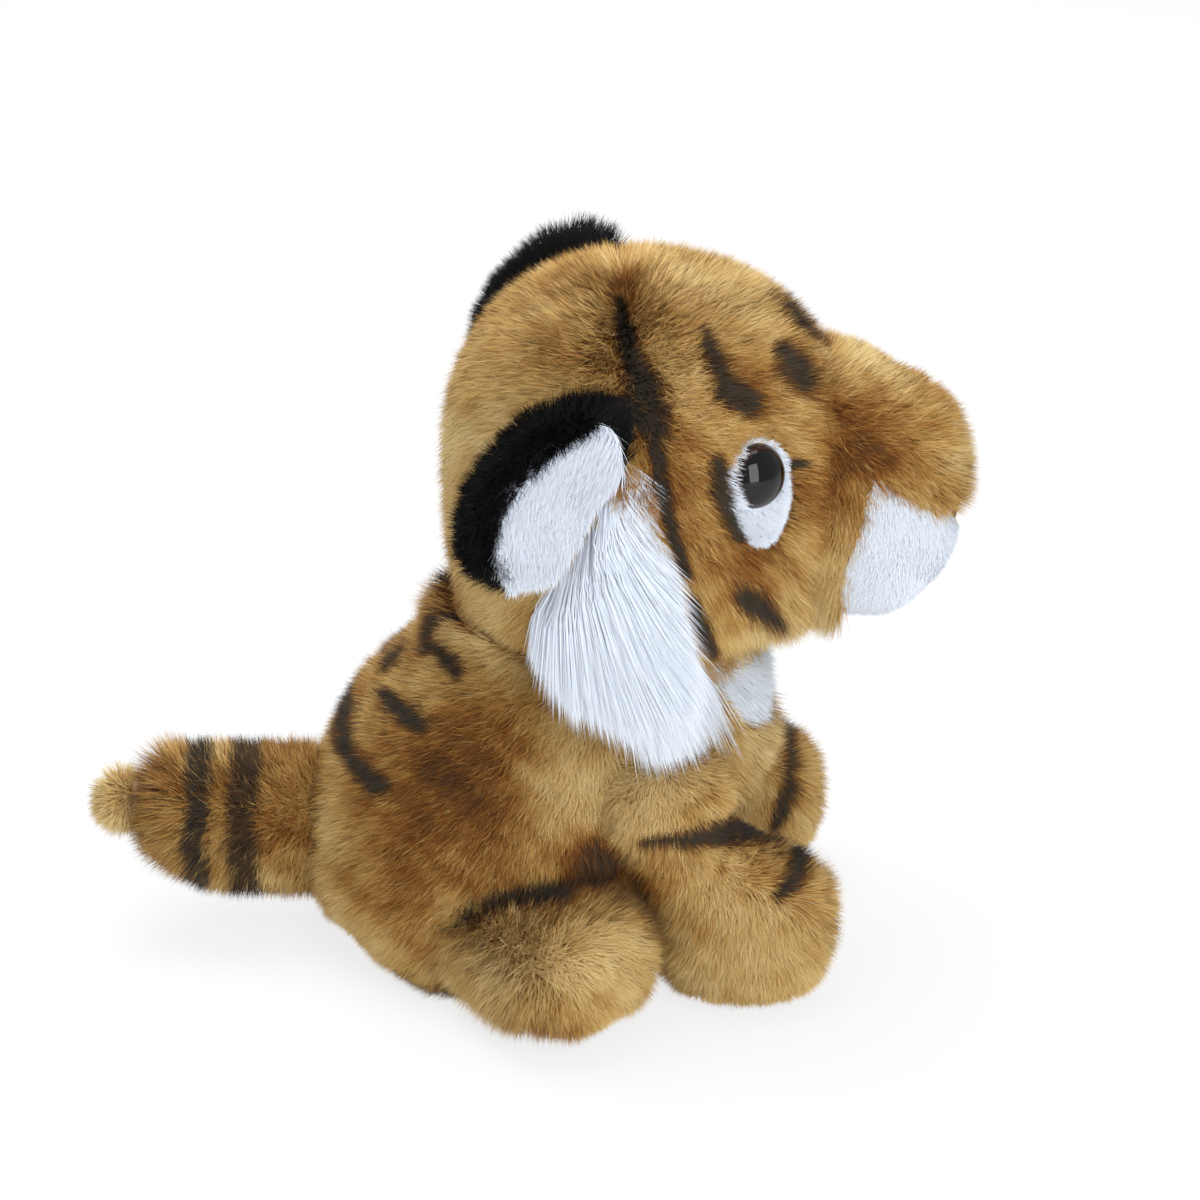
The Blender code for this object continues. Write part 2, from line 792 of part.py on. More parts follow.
def build_trunk(clearing):
    """The trunk's skin, bib, stuffing and pellet pouch."""
    form = trunk_form()
    inside = form.coarse()
    hollow = cutter("trunk_hollow", inside.mesh("trunk_hollow", depth=WALL, start=WALL,
                                                end=TRUNK_HEIGHT + OVERRUN))
    across = BIB_WIDTH / 2
    low = TRUNK_HEIGHT - BIB_DROP
    high = TRUNK_HEIGHT + OVERRUN
    round_off = across / 2
    outline = [(-across, high), (-across, low + round_off), (-round_off, low),
               (round_off, low), (across, low + round_off), (across, high)]
    ahead = Matrix.Translation((NECK_MIDDLE, 0.0, 0.0)) @ Matrix(
        ((0, 0, 1, 0), (1, 0, 0, 0), (0, 1, 0, 0), (0, 0, 0, 1)))
    bib_shape = prism("bib_shape", outline, TRUNK_FRONT, ahead)
    bib_room = prism("bib_room", grown(outline, GAP), TRUNK_FRONT, ahead)
    skin = part("trunk_skin", form.mesh("trunk_skin"), "tan_plush")
    cut(skin, hollow, bib_room, *clearing)
    bib = part("chest_bib", form.mesh("chest_bib"), "white_plush")
    cut(bib, hollow)
    cut(bib, bib_shape, operation="INTERSECT")
    cut(bib, *clearing)
    stuffing = part("trunk_stuffing", inside.mesh(
        "trunk_stuffing", depth=WALL + GAP, start=WALL + GAP, end=TRUNK_HEIGHT), "polyester_fill")
    pouch_form = build_pouch()
    room = cutter("pouch_room", pouch_form.mesh("pouch_room", depth=-GAP, start=-OVERRUN))
    cut(stuffing, room, *clearing)


def build_pouch():
    """The pouch of pellets on the floor of the trunk, between the hips and the tail."""
    reach = min(POUCH_LENGTH / 2, TAIL_ROOT - POUCH_BACK - TAIL_ACROSS / 2 - CLEARANCE - GAP)
    across = min(POUCH_WIDTH, HIP_APART - HIP_ACROSS - 2 * (CLEARANCE + GAP))
    rows = []
    for height, width in POUCH_SHARES:
        rows.append((height * POUCH_HEIGHT, 0.0, width * reach, width * across / 2, ROUND))
    place = Matrix.Translation((-POUCH_BACK, 0.0, WALL + GAP))
    form = Form(rows, place=place, around=INNER_AROUND)
    part("pellet_pouch", form.mesh("pellet_pouch"), "pellet_pouch")
    return form


def build_head():
    """The head's skin, panels, fittings and stuffing, and the ears."""
    skull, muzzle = skull_form(), muzzle_form()
    skull_in, muzzle_in = skull.coarse(), muzzle.coarse()
    low = NECK - OVERRUN
    skull_hollow = cutter("skull_hollow", skull_in.mesh("skull_hollow", depth=WALL, start=low))
    muzzle_hollow = cutter("muzzle_hollow", muzzle_in.mesh("muzzle_hollow", depth=WALL))
    front = MUZZLE_START + MUZZLE_LENGTH
    reach = OVERRUN + MUZZLE_LENGTH
    slope = (WHITE_AT_FRONT - WHITE_AT_CHEEK) / MUZZLE_LENGTH
    back, ahead = MUZZLE_START - OVERRUN, front + OVERRUN
    base = MUZZLE_BASE - OVERRUN
    cheek = MUZZLE_BASE + WHITE_AT_CHEEK
    outline = [(back, base), (ahead, base), (ahead, cheek + slope * reach),
               (back, cheek - slope * OVERRUN)]
    aside = Matrix.Translation((0.0, MUZZLE_WIDTH, 0.0)) @ Matrix(
        ((1, 0, 0, 0), (0, 0, -1, 0), (0, 1, 0, 0), (0, 0, 0, 1)))
    white_shape = prism("white_shape", outline, 2 * MUZZLE_WIDTH, aside)
    white_room = prism("white_room", grown(outline, GAP), 2 * MUZZLE_WIDTH, aside)
    bridge = cutter("bridge", muzzle.mesh("bridge"))
    cut(bridge, white_room)
    skin = part("head_skin", skull.mesh("head_skin"), "tan_plush")
    cut(skin, bridge, operation="UNION")
    cut(skin, skull_hollow, muzzle_hollow)
    panel = part("muzzle_panel", muzzle.mesh("muzzle_panel"), "white_plush")
    cut(panel, white_shape, operation="INTERSECT")
    cut(panel, muzzle_hollow, cutter("skull_room", skull.mesh("skull_room", depth=-GAP)))
    stuffing = part("head_stuffing", skull_in.mesh(
        "head_stuffing", depth=WALL + GAP, start=NECK), "polyester_fill")
    cut(stuffing, cutter("muzzle_fill", muzzle_in.mesh("muzzle_fill", depth=WALL + GAP)),
        operation="UNION")
    pieces = [skin, panel, stuffing, build_nose(muzzle)]
    for side, word in ((-1, "right"), (1, "left")):
        ear_pieces, ways = build_ear(side, word)
        pieces += build_eye(side, word, skull, skull_hollow, skin, stuffing)
        pieces.append(build_ruff(side, word, skull, skull_hollow, skin, ways))
        cut(skin, *ways)
        pieces.append(hang(f"ear_{word}_pivot", ear_root(side), *ear_pieces))
    hang("head_pivot", (NECK_MIDDLE, 0.0, TRUNK_HEIGHT), *pieces)


def build_nose(muzzle):
    """The velvet nose, a pad of even thickness that lies on the front of the muzzle."""
    across = NOSE_WIDTH / 2
    middle = NOSE_TOP - NOSE_HEIGHT / 2
    low = NOSE_TOP - NOSE_HEIGHT
    lip = across / 4
    outline = [(-across, middle + lip), (-across + lip, NOSE_TOP), (across - lip, NOSE_TOP),
               (across, middle + lip), (lip, low), (-lip, low)]
    front = MUZZLE_START + MUZZLE_LENGTH
    ahead = Matrix.Translation((front - NOSE_WIDTH, 0.0, 0.0)) @ Matrix(
        ((0, 0, 1, 0), (1, 0, 0, 0), (0, 1, 0, 0), (0, 0, 0, 1)))
    shape = prism("nose_shape", outline, 2 * NOSE_WIDTH, ahead)
    nose = part("nose", muzzle.mesh("nose", depth=-GAP - NOSE_THICKNESS), "velvet")
    cut(nose, shape, operation="INTERSECT")
    cut(nose, cutter("nose_seat", muzzle.mesh("nose_seat", depth=-GAP)))
    return nose


def build_eye(side, word, skull, skull_hollow, skin, stuffing):
    """An eye with its post and washer, and the short white patch that it sits in."""
    point, outward = surface_point(skull, NECK + EYE_RISE, SKULL_MIDDLE + EYE_REACH, side)
    place = frame_at(point, outward)
    seat = place @ Matrix.Translation((0.0, 0.0, -EYE_DEPTH))
    radius, post = EYE_ACROSS / 2, POST_ACROSS / 2
    profile = [(0.0, EYE_DOME)]
    profile += [(radius * math.cos(a), EYE_DOME * math.sin(a)) for a in EYE_BOW]
    profile += [(radius, -EYE_FLANGE), (post, -EYE_FLANGE), (post, -POST_LENGTH), (0.0, -POST_LENGTH)]
    eye = turned(f"eye_{word}", profile, seat)
    bpy.data.collections[TOY].objects.link(eye)
    eye.data.materials.append(material("eye_plastic"))
    pocket_top = EYE_DEPTH - WALL
    washer_top = pocket_top - GAP
    washer_foot = washer_top - WASHER_THICKNESS
    wide = WASHER_ACROSS / 2
    hole = post + GAP
    rim = [(hole, washer_top), (wide, washer_top), (wide, washer_foot), (hole, washer_foot)]
    washer = turned(f"eye_washer_{word}", rim, seat)
    bpy.data.collections[TOY].objects.link(washer)
    washer.data.materials.append(material("washer_plastic"))

    above = EYE_DEPTH + EYE_DOME
    socket_foot = -EYE_FLANGE - GAP
    pocket_foot = washer_foot - GAP
    bore_foot = -POST_LENGTH - GAP
    steps_down = [(0.0, above), (radius + GAP, above), (radius + GAP, socket_foot),
                  (hole, socket_foot), (hole, pocket_top), (wide + GAP, pocket_top),
                  (wide + GAP, pocket_foot), (hole, pocket_foot), (hole, bore_foot),
                  (0.0, bore_foot)]
    sunk = turned(f"eye_room_{word}", steps_down, seat)
    bpy.data.collections["cutters"].objects.link(sunk)
    sunk.hide_render = True
    sunk.display_type = "WIRE"
    half = PATCH_WIDTH / 2
    turns = [2 * math.pi * i / PATCH_CORNERS for i in range(PATCH_CORNERS)]
    outline = [(half * math.cos(a), (PATCH_RISE if math.sin(a) > 0 else PATCH_DROP) * math.sin(a))
               for a in turns]
    deep = place @ Matrix.Translation((0.0, 0.0, -2 * WALL))
    shape = prism(f"patch_shape_{word}", outline, 3 * WALL, deep)
    room = prism(f"patch_room_{word}", grown(outline, GAP), 3 * WALL, deep)
    patch = part(f"eye_patch_{word}", skull.mesh(f"eye_patch_{word}", depth=PATCH_DEPTH), "white_felt")
    cut(patch, skull_hollow)
    cut(patch, shape, operation="INTERSECT")
    cut(patch, sunk)
    cut(skin, room)
    cut(stuffing, sunk)
    return [eye, washer, patch]


def build_ruff(side, word, skull, skull_hollow, skin, ways):
    """The panel of long white pile between the ear root and the cheek."""
    root = ear_root(side)
    outline = [(root.x + u * RUFF_LENGTH, root.z + v * RUFF_HEIGHT) for u, v in RUFF_SHARES]
    aside = Matrix.Translation((0.0, 0.0 if side > 0 else -SKULL_WIDTH, 0.0)) @ Matrix(
        ((1, 0, 0, 0), (0, 0, 1, 0), (0, 1, 0, 0), (0, 0, 0, 1)))
    shape = prism(f"ruff_shape_{word}", outline, SKULL_WIDTH, aside)
    room = prism(f"ruff_room_{word}", grown(outline, GAP), SKULL_WIDTH, aside)
    ruff = part(f"cheek_ruff_{word}", skull.mesh(f"cheek_ruff_{word}"), "white_plush")
    cut(ruff, skull_hollow)
    cut(ruff, shape, operation="INTERSECT")
    cut(ruff, *ways)
    cut(skin, room)
    return ruff


def build_ear(side, word):
    """An ear's dark back with its root bead, and its white lining."""
    along, up, lining = ear_directions(side)
    root = ear_root(side)
    back_form = ear_form(side, 0.0, 0.0, EAR_BACK_THICKNESS)
    back = part(f"ear_back_{word}", back_form.mesh(
        f"ear_back_{word}", clamp=cupped(-EAR_BACK_THICKNESS, 0.0)), "black_plush")
    bead = ear_bead(f"ear_bead_{word}", root, along, EAR_ROOT_ACROSS / 2)
    cut(back, bead, operation="UNION")
    start = EAR_ROOT_ACROSS / 2 + GAP
    white_form = ear_form(side, start, EAR_RIM, EAR_LINING_THICKNESS)
    white = part(f"ear_lining_{word}", white_form.mesh(
        f"ear_lining_{word}", clamp=cupped(GAP, EAR_LINING_THICKNESS)), "white_plush")
    way_form = ear_form(side, 0.0, -CLEARANCE, EAR_BACK_THICKNESS + CLEARANCE)
    layers = cupped(-EAR_BACK_THICKNESS - CLEARANCE, EAR_LINING_THICKNESS + CLEARANCE)
    ways = [swung(f"ear_{word}_way", way_form.coarse(WAY_AROUND), root, ear_axis(side),
                  EAR_SWINGS, clamp=layers)]
    ways.append(ear_bead(f"ear_groove_{word}", root, along, EAR_ROOT_ACROSS / 2 + CLEARANCE))
    return [back, white], ways


def ear_axis(side):
    """The axis about which an ear folds forward, along its root seam."""
    along, up, lining = ear_directions(side)
    return along if along.cross(up).dot(lining) > 0 else -along


def ear_bead(name, root, along, radius):
    """The rolled seam at the root of an ear, a straight roll of plush."""
    roll = bmesh.new()
    length = EAR_ROOT_LENGTH + 2 * (radius - EAR_ROOT_ACROSS / 2)
    place = frame_at(root, along, Vector((0.0, 1.0, 0.0)))
    bmesh.ops.create_cone(roll, cap_ends=True, segments=TURN_STEPS, radius1=radius,
                          radius2=radius, depth=length, matrix=place)
    made = bpy.data.meshes.new(name)
    roll.to_mesh(made)
    roll.free()
    return cutter(name, made)


def main():
    for thing in list(bpy.data.objects):
        bpy.data.objects.remove(thing)
    new_collection(TOY)
    new_collection("cutters")
    clearing = build_limbs()
    build_trunk(clearing)
    build_head()


main()
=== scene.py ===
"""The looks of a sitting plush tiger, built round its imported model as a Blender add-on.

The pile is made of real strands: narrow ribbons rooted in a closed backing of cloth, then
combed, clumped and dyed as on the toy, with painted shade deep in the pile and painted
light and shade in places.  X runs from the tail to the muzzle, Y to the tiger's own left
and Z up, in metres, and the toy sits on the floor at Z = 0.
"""

import itertools
import json
import math

import bpy
import numpy as np
from bpy.props import FloatProperty, FloatVectorProperty, IntProperty, PointerProperty
from mathutils import Matrix, Vector


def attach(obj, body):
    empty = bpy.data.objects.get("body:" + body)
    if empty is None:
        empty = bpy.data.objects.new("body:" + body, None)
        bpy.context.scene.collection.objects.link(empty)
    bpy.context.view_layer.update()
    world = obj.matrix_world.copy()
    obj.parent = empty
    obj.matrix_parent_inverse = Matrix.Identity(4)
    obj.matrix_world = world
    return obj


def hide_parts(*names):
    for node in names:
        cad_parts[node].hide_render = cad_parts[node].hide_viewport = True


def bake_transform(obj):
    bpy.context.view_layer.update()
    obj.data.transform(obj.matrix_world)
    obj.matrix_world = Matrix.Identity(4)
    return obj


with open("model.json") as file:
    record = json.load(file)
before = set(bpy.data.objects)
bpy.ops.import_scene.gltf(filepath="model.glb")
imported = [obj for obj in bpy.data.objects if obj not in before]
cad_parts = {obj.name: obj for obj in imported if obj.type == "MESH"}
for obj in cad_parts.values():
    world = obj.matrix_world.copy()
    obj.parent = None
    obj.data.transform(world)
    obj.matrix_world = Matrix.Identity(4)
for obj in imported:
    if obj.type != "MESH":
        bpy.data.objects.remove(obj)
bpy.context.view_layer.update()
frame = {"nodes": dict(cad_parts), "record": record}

bl_info = {
    "name": "Plush tiger",
    "version": (1, 0, 0),
    "blender": (4, 5, 0),
    "location": "View3D > Sidebar > Tiger",
    "description": "Dresses the packed model of a plush tiger in its pile, eyes and nose",
    "category": "Object",
}

# The camera looks along +Y from above, at a square frame
VIEW_ELEVATION = math.radians(24)
VIEW_DISTANCE = 0.9
VIEW_TARGET = (0.01685, 0.0, 0.080)
VIEW_PIXELS = 1200
VIEW_FOCAL_PIXELS = 4091
SENSOR_MM = 36

# Forms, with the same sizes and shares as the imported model
GAP = 0.0003
TRUNK_HEIGHT = 0.077
TRUNK_BACK = 0.050
TRUNK_FRONT = 0.0565
TRUNK_WIDTH = 0.091
TRUNK_SHARES = (
    (0.00, 0.68, 0.425, 0.75, 2.0),
    (0.04, 0.82, 0.50, 0.86, 2.0),
    (0.13, 0.93, 0.55, 0.945, 2.0),
    (0.27, 1.00, 0.62, 0.99, 2.0),
    (0.415, 0.97, 0.745, 1.00, 2.0),
    (0.545, 0.915, 0.885, 0.99, 2.0),
    (0.675, 0.83, 0.973, 0.945, 2.0),
    (0.78, 0.73, 1.00, 0.90, 2.0),
    (0.88, 0.56, 0.982, 0.845, 2.0),
    (1.00, 0.38, 0.90, 0.79, 2.0),
)
NECK = TRUNK_HEIGHT + GAP
SKULL_HEIGHT = 0.0825
SKULL_LENGTH = 0.090
SKULL_WIDTH = 0.097
SKULL_MIDDLE = 0.026
SKULL_SHARES = (
    (0.000, 0.911, 0.622, 0.70, 2.0),
    (0.096, 0.944, 0.800, 0.845, 2.0),
    (0.217, 0.978, 0.922, 0.959, 2.0),
    (0.350, 0.991, 0.978, 1.00, 2.0),
    (0.480, 0.991, 1.000, 1.00, 2.0),
    (0.610, 0.967, 0.989, 0.959, 2.0),
    (0.730, 0.889, 0.900, 0.866, 2.0),
    (0.840, 0.744, 0.756, 0.700, 2.0),
    (0.923, 0.544, 0.556, 0.495, 2.0),
    (0.978, 0.300, 0.300, 0.270, 2.0),
    (1.000, 0.000, 0.000, 0.000, 2.0),
)
MUZZLE_START = 0.046
MUZZLE_LENGTH = 0.0493
MUZZLE_BASE = NECK + 0.0027
MUZZLE_HEIGHT = 0.061
MUZZLE_WIDTH = 0.050
MUZZLE_SHARES = (
    (0.000, 0.130, 0.967, 0.88, 2.4),
    (0.276, 0.050, 1.010, 0.98, 2.4),
    (0.433, 0.008, 0.995, 1.00, 2.5),
    (0.590, 0.000, 0.951, 0.98, 2.6),
    (0.748, 0.008, 0.885, 0.92, 2.6),
    (0.876, 0.050, 0.820, 0.84, 2.6),
    (0.955, 0.130, 0.738, 0.68, 2.5),
    (0.990, 0.262, 0.615, 0.38, 2.3),
    (1.000, 0.434, 0.434, 0.00, 2.0),
)
NOSE_WIDTH = 0.016
NOSE_HEIGHT = 0.010
NOSE_TOP = MUZZLE_BASE + 0.0405
NOSE_THICKNESS = 0.0016
EYE_ACROSS = 0.014
EYE_DOME = 0.0055
EYE_DEPTH = 0.0044
EYE_REACH = 0.0255
EYE_RISE = 0.0482
PATCH_WIDTH = 0.0175
PATCH_RISE = 0.0095
PATCH_DROP = 0.0175
EAR_HEIGHT = 0.037
EAR_WIDTH = 0.048
EAR_BACK_THICKNESS = 0.0065
EAR_LINING_THICKNESS = 0.0035
EAR_RIM = 0.006
EAR_CUP = 0.005
EAR_ROOT_ACROSS = 0.008
EAR_ROOT_REACH = 0.0145
EAR_ROOT_RISE = 0.0422
EAR_ROOT_APART = 0.0905
EAR_LEAN = math.radians(26)
EAR_SWEEP = math.radians(37)
EAR_SPREAD = math.radians(25)
EAR_SHARES = (
    (0.00, 0.60, 0.55),
    (0.22, 0.86, 0.90),
    (0.45, 1.00, 1.00),
    (0.65, 0.97, 1.00),
    (0.82, 0.80, 0.92),
    (0.94, 0.50, 0.70),
    (1.00, 0.00, 0.00),
)
FORELEG_WIDTH = 0.032
SHOULDER_REACH = 0.030
SHOULDER_HEIGHT = 0.046
FORELEG_APART = 0.063
PAW_REACH = 0.039
FORELEG_SHARES = (
    (0.000, -0.077, 0.872, 0.72, 2.2),
    (0.065, 0.000, 0.949, 0.875, 2.2),
    (0.217, 0.051, 0.990, 0.97, 2.2),
    (0.435, 0.077, 1.000, 1.00, 2.2),
    (0.609, 0.141, 0.950, 1.01, 2.2),
    (0.761, 0.269, 0.760, 1.01, 2.1),
    (0.891, 0.372, 0.540, 1.00, 2.0),
)
HIP_REACH = -0.006
HIP_ACROSS = 0.032
HIP_APART = 0.070
FOOT_LENGTH = 0.038
FOOT_HEIGHT = 0.0336
FOOT_WIDTH = 0.040
FOOT_SPLAY = math.radians(38)
FOOT_SHARES = (
    (0.21, 0.99, 0.90),
    (0.42, 1.00, 0.99),
    (0.60, 1.00, 1.00),
    (0.79, 0.93, 0.90),
    (0.91, 0.72, 0.68),
    (0.975, 0.40, 0.38),
    (1.00, 0.00, 0.00),
)
TAIL_ROOT = 0.049
TAIL_LEVEL = 0.0265
TAIL_ACROSS = 0.0336
TAIL_LENGTH = 0.0358
TAIL_LIFT = 0.0045
TAIL_SHARES = (
    (0.28, 1.00, 0.00),
    (0.54, 0.99, 0.05),
    (0.76, 0.90, 0.30),
    (0.91, 0.66, 0.70),
    (0.98, 0.34, 0.95),
    (1.00, 0.00, 1.00),
)
TUFT_LENGTH = 0.012
TUFT_ACROSS = 0.0135
THREAD_ACROSS = 0.0012
BALL_SHARES = (0.36, 0.68, 0.866)
ROUND = 2.0

# Steps between a table's rows and points round a section, for surfaces and for searches
STEPS = 10
AROUND = 112
SEARCH_STEPS = 8
SEARCH_AROUND = 360
# The strands' smallest height above the floor
FLOOR_GAP = 0.0002
# How far down the photograph a metre of hanging ruff reaches
RUFF_PIXELS_PER_METRE = 4600
# The share of the surface's normal in a strand's shading normal, on dyed and on white pile
SOFTNESS = 0.7
WHITE_SOFTNESS = 0.9
# How far the trunk's collar rises into the head, and the head's neck hangs over the collar
COLLAR = 0.003
# How deep the head sinks into the trunk's pile
HEAD_SINKS = 0.007
# The backings' undersides stay this share of their depth above the floor
UNDERSIDE = 0.25
# How far a seam's bend reaches to the trunk's side of a joint and to the limb's
SHOULDER_BEND = (0.013, 0.009)
HIP_BEND = (0.012, 0.010)
TAIL_BEND = (0.010, 0.010)
# The share of the white pile's length that its backing lies under the muzzle's surface
MUZZLE_INSET = 0.62
# The bare oval of an eye patch: how far its middle lies behind and above the eye's, its
# halves across and along, its squareness and its lean
OVAL_MIDDLE = (-0.0004, -0.0037)
OVAL_HALVES = (0.0071, 0.0107)
OVAL_SQUARENESS = 2.4
OVAL_LEAN = math.radians(15)
# The eye patch's felt: how far it lies under the skull, how much deeper at its rim, its
# thickness, and how far its pile reaches past the tan pile's edge
FELT_DIP = 0.0029
FELT_RIM_DIP = 0.0016
FELT_THICKNESS = 0.0012
FELT_OVERLAP = 0.0004
# How far down from the nose the mouth's line of thread parts to both sides
MOUTH_DROP = 0.0128
# The tuft's size, as a share of the gathered cloth's, and its pile, as one of the body's
TUFT_SHARE = 0.7
TUFT_PILE = 0.75
# The white bib: half its width, and its drop below the neck
BIB_ACROSS = 0.022
BIB_DROP = 0.021
# The ruffs' shortest strands, and those that lie beside the front edge
RUFF_SHORTEST = 0.006
RUFF_EDGE_PILE = 0.0095

# Dyes run from stripe black at 0 to cream at 1
BLACK, BROWN, ORANGE, TAN = 0.04, 0.30, 0.50, 0.70


def linear(value):
    """One sRGB channel from 0 to 1 as a linear one."""
    return value / 12.92 if value <= 0.04045 else ((value + 0.055) / 1.055) ** 2.4


def colour(digits):
    """An sRGB hex value as linear red, green and blue."""
    return tuple(linear(int(digits[i : i + 2], 16) / 255) for i in (0, 2, 4))


def length_property(label, text, size):
    """A length in metres."""
    return FloatProperty(name=label, description=text, default=size, min=0.0, unit="LENGTH",
                         subtype="DISTANCE", precision=5)


def colour_property(label, text, digits):
    """A linear colour, from its sRGB hex value."""
    return FloatVectorProperty(name=label, description=text, default=colour(digits), min=0.0,
                               max=1.0, subtype="COLOR")


class TigerSizes(bpy.types.PropertyGroup):
    """Sizes of the pile and the fittings that a user would change."""

    pile: length_property("Pile", "Length of a body strand from root to tip", 0.0073)
    bridge_pile: length_property("Bridge pile", "Length of a strand on top of the muzzle", 0.0064)
    ear_pile: length_property("Ear pile", "Length of a strand on the back of an ear", 0.0058)
    short_pile: length_property("Short pile", "Length of a strand on the white panels", 0.0028)
    felt_pile: length_property("Felt pile", "Length of a strand on the eye patches", 0.0022)
    ruff_pile: length_property("Ruff pile", "Length of a strand in the cheek ruffs", 0.032)
    bib_pile: length_property("Bib pile", "Length of a strand on the chest bib", 0.0060)
    backing_depth: length_property("Backing depth", "How far the backing lies under the pile",
                                   0.0050)
    strand: length_property("Strand", "Width of a strand at its root", 0.00028)
    fine_clump: length_property("Fine clump", "Distance between the finest tufts", 0.0015)
    coarse_clump: length_property("Coarse clump", "Distance between the larger locks", 0.0048)
    strands_per_mm2: FloatProperty(name="Density", description="Strands in a square millimetre",
                                   default=20.0, min=0.1)
    seed: IntProperty(name="Seed", description="Seed of every random draw", default=7)


class TigerColours(bpy.types.PropertyGroup):
    """Colours of the dyes and the fittings that a user would change."""

    stripe_tip: colour_property("Stripe tip", "Tips of the black stripes", "393B33")
    brown_tip: colour_property("Brown tip", "Tips at a stripe's edge", "5C3C1C")
    orange_tip: colour_property("Orange tip", "Tips in the deeper hollows", "94591E")
    tan_tip: colour_property("Tan tip", "Tips over most of the body", "C9A057")
    cream_tip: colour_property("Cream tip", "Tips of the palest fur", "E9D093")
    # Root colours, darker than the tips', are painted shade deep in the pile
    stripe_root: colour_property("Stripe root", "Roots of the black stripes", "10110F")
    brown_root: colour_property("Brown root", "Roots at a stripe's edge", "26140A")
    orange_root: colour_property("Orange root", "Roots in the deeper hollows", "552A06")
    tan_root: colour_property("Tan root", "Roots over most of the body", "804F18")
    cream_root: colour_property("Cream root", "Roots of the palest fur", "BA8C48")
    white_tip: colour_property("White tip", "Tips of the white panels", "EBF2FB")
    # The white root, a cooler and darker white, is painted shade in the pile's hollows
    white_root: colour_property("White root", "Roots of the white panels", "E2EAF6")
    ear_tip: colour_property("Ear tip", "Tips on the back of the ears", "111112")
    # The ear root, darker than the ear tip, is painted shade deep in the pile
    ear_root: colour_property("Ear root", "Roots on the back of the ears", "0B0B0C")
    pupil: colour_property("Pupil", "Middle of the eyes", "050505")
    iris: colour_property("Iris", "Ring round the pupil", "3A1C10")
    nose: colour_property("Nose", "Velvet of the nose", "6A4038")
    stitch: colour_property("Stitch", "Thread of the mouth", "2A201C")
    floor: colour_property("Floor", "Card that the toy sits on", "F2F2F2")


def smooth(value, low, high):
    """A smooth step from 0 at low to 1 at high."""
    share = np.clip((value - low) / (high - low), 0.0, 1.0)
    return share * share * (3 - 2 * share)


def unit(vectors):
    """Vectors scaled to a length of 1."""
    size = np.linalg.norm(vectors, axis=-1, keepdims=True)
    return vectors / np.maximum(size, np.finfo(float).tiny)


def dot(a, b):
    """The product of vectors, kept as a last axis of 1."""
    return (a * b).sum(axis=-1, keepdims=True)


def flow(rows, steps):
    """The rows of a table with more between them, on a Catmull-Rom curve.

    A row is (along, middle, half, half width, squareness).  Past a closed end, where half
    is zero, the curve comes back on the other side, which rounds the end.
    """
    rows = np.array(rows, float)

    def beyond(end, inner):
        if end[2] == 0:
            return np.array([inner[0], inner[1], -inner[2], -inner[3], inner[4]])
        return 2 * end - inner

    padded = np.vstack([beyond(rows[0], rows[1]), rows, beyond(rows[-1], rows[-2])])
    found = []
    for before, start, end, after in zip(padded, padded[1:], padded[2:], padded[3:]):
        for t in np.arange(steps) / steps:
            found.append(0.5 * (2 * start + (end - before) * t
                                + (2 * before - 5 * start + 4 * end - after) * t**2
                                + (3 * start - before - 3 * end + after) * t**3))
    found.append(rows[-1])
    return np.array(found)


def sections(rows, steps, around):
    """Closed sections, rings by points by (along, long, wide).

    A section is a superellipse: long = middle + half * cos^(2/n) and wide = half width *
    sin^(2/n) of an angle that goes once round, where n is the row's squareness.
    """
    along, middle, half, wide, square = (c[:, None] for c in flow(rows, steps).T)
    angle = 2 * math.pi * np.arange(around)[None, :] / around
    bend = 2 / square

    def power(value):
        return np.sign(value) * np.abs(value) ** bend

    return np.stack(np.broadcast_arrays(along, middle + half * power(np.cos(angle)),
                                        wide * power(np.sin(angle))), axis=2)


def outward(rings):
    """Unit normals of a grid of rings: its two directions crossed, pointing away."""
    across = np.gradient(rings, axis=0)
    beside = np.roll(rings, -1, axis=1) - np.roll(rings, 1, axis=1)
    normal = np.cross(across, beside)
    away = rings - rings.mean(axis=1, keepdims=True)
    normal = unit(normal * (np.sign((normal * away).sum()) or 1))
    for end, neighbour in ((0, 1), (-1, -2)):
        if np.ptp(rings[end], axis=0).max() == 0:
            normal[end] = 0
            normal[end, :, 0] = np.sign(rings[end, 0, 0] - rings[neighbour, 0, 0])
    return normal


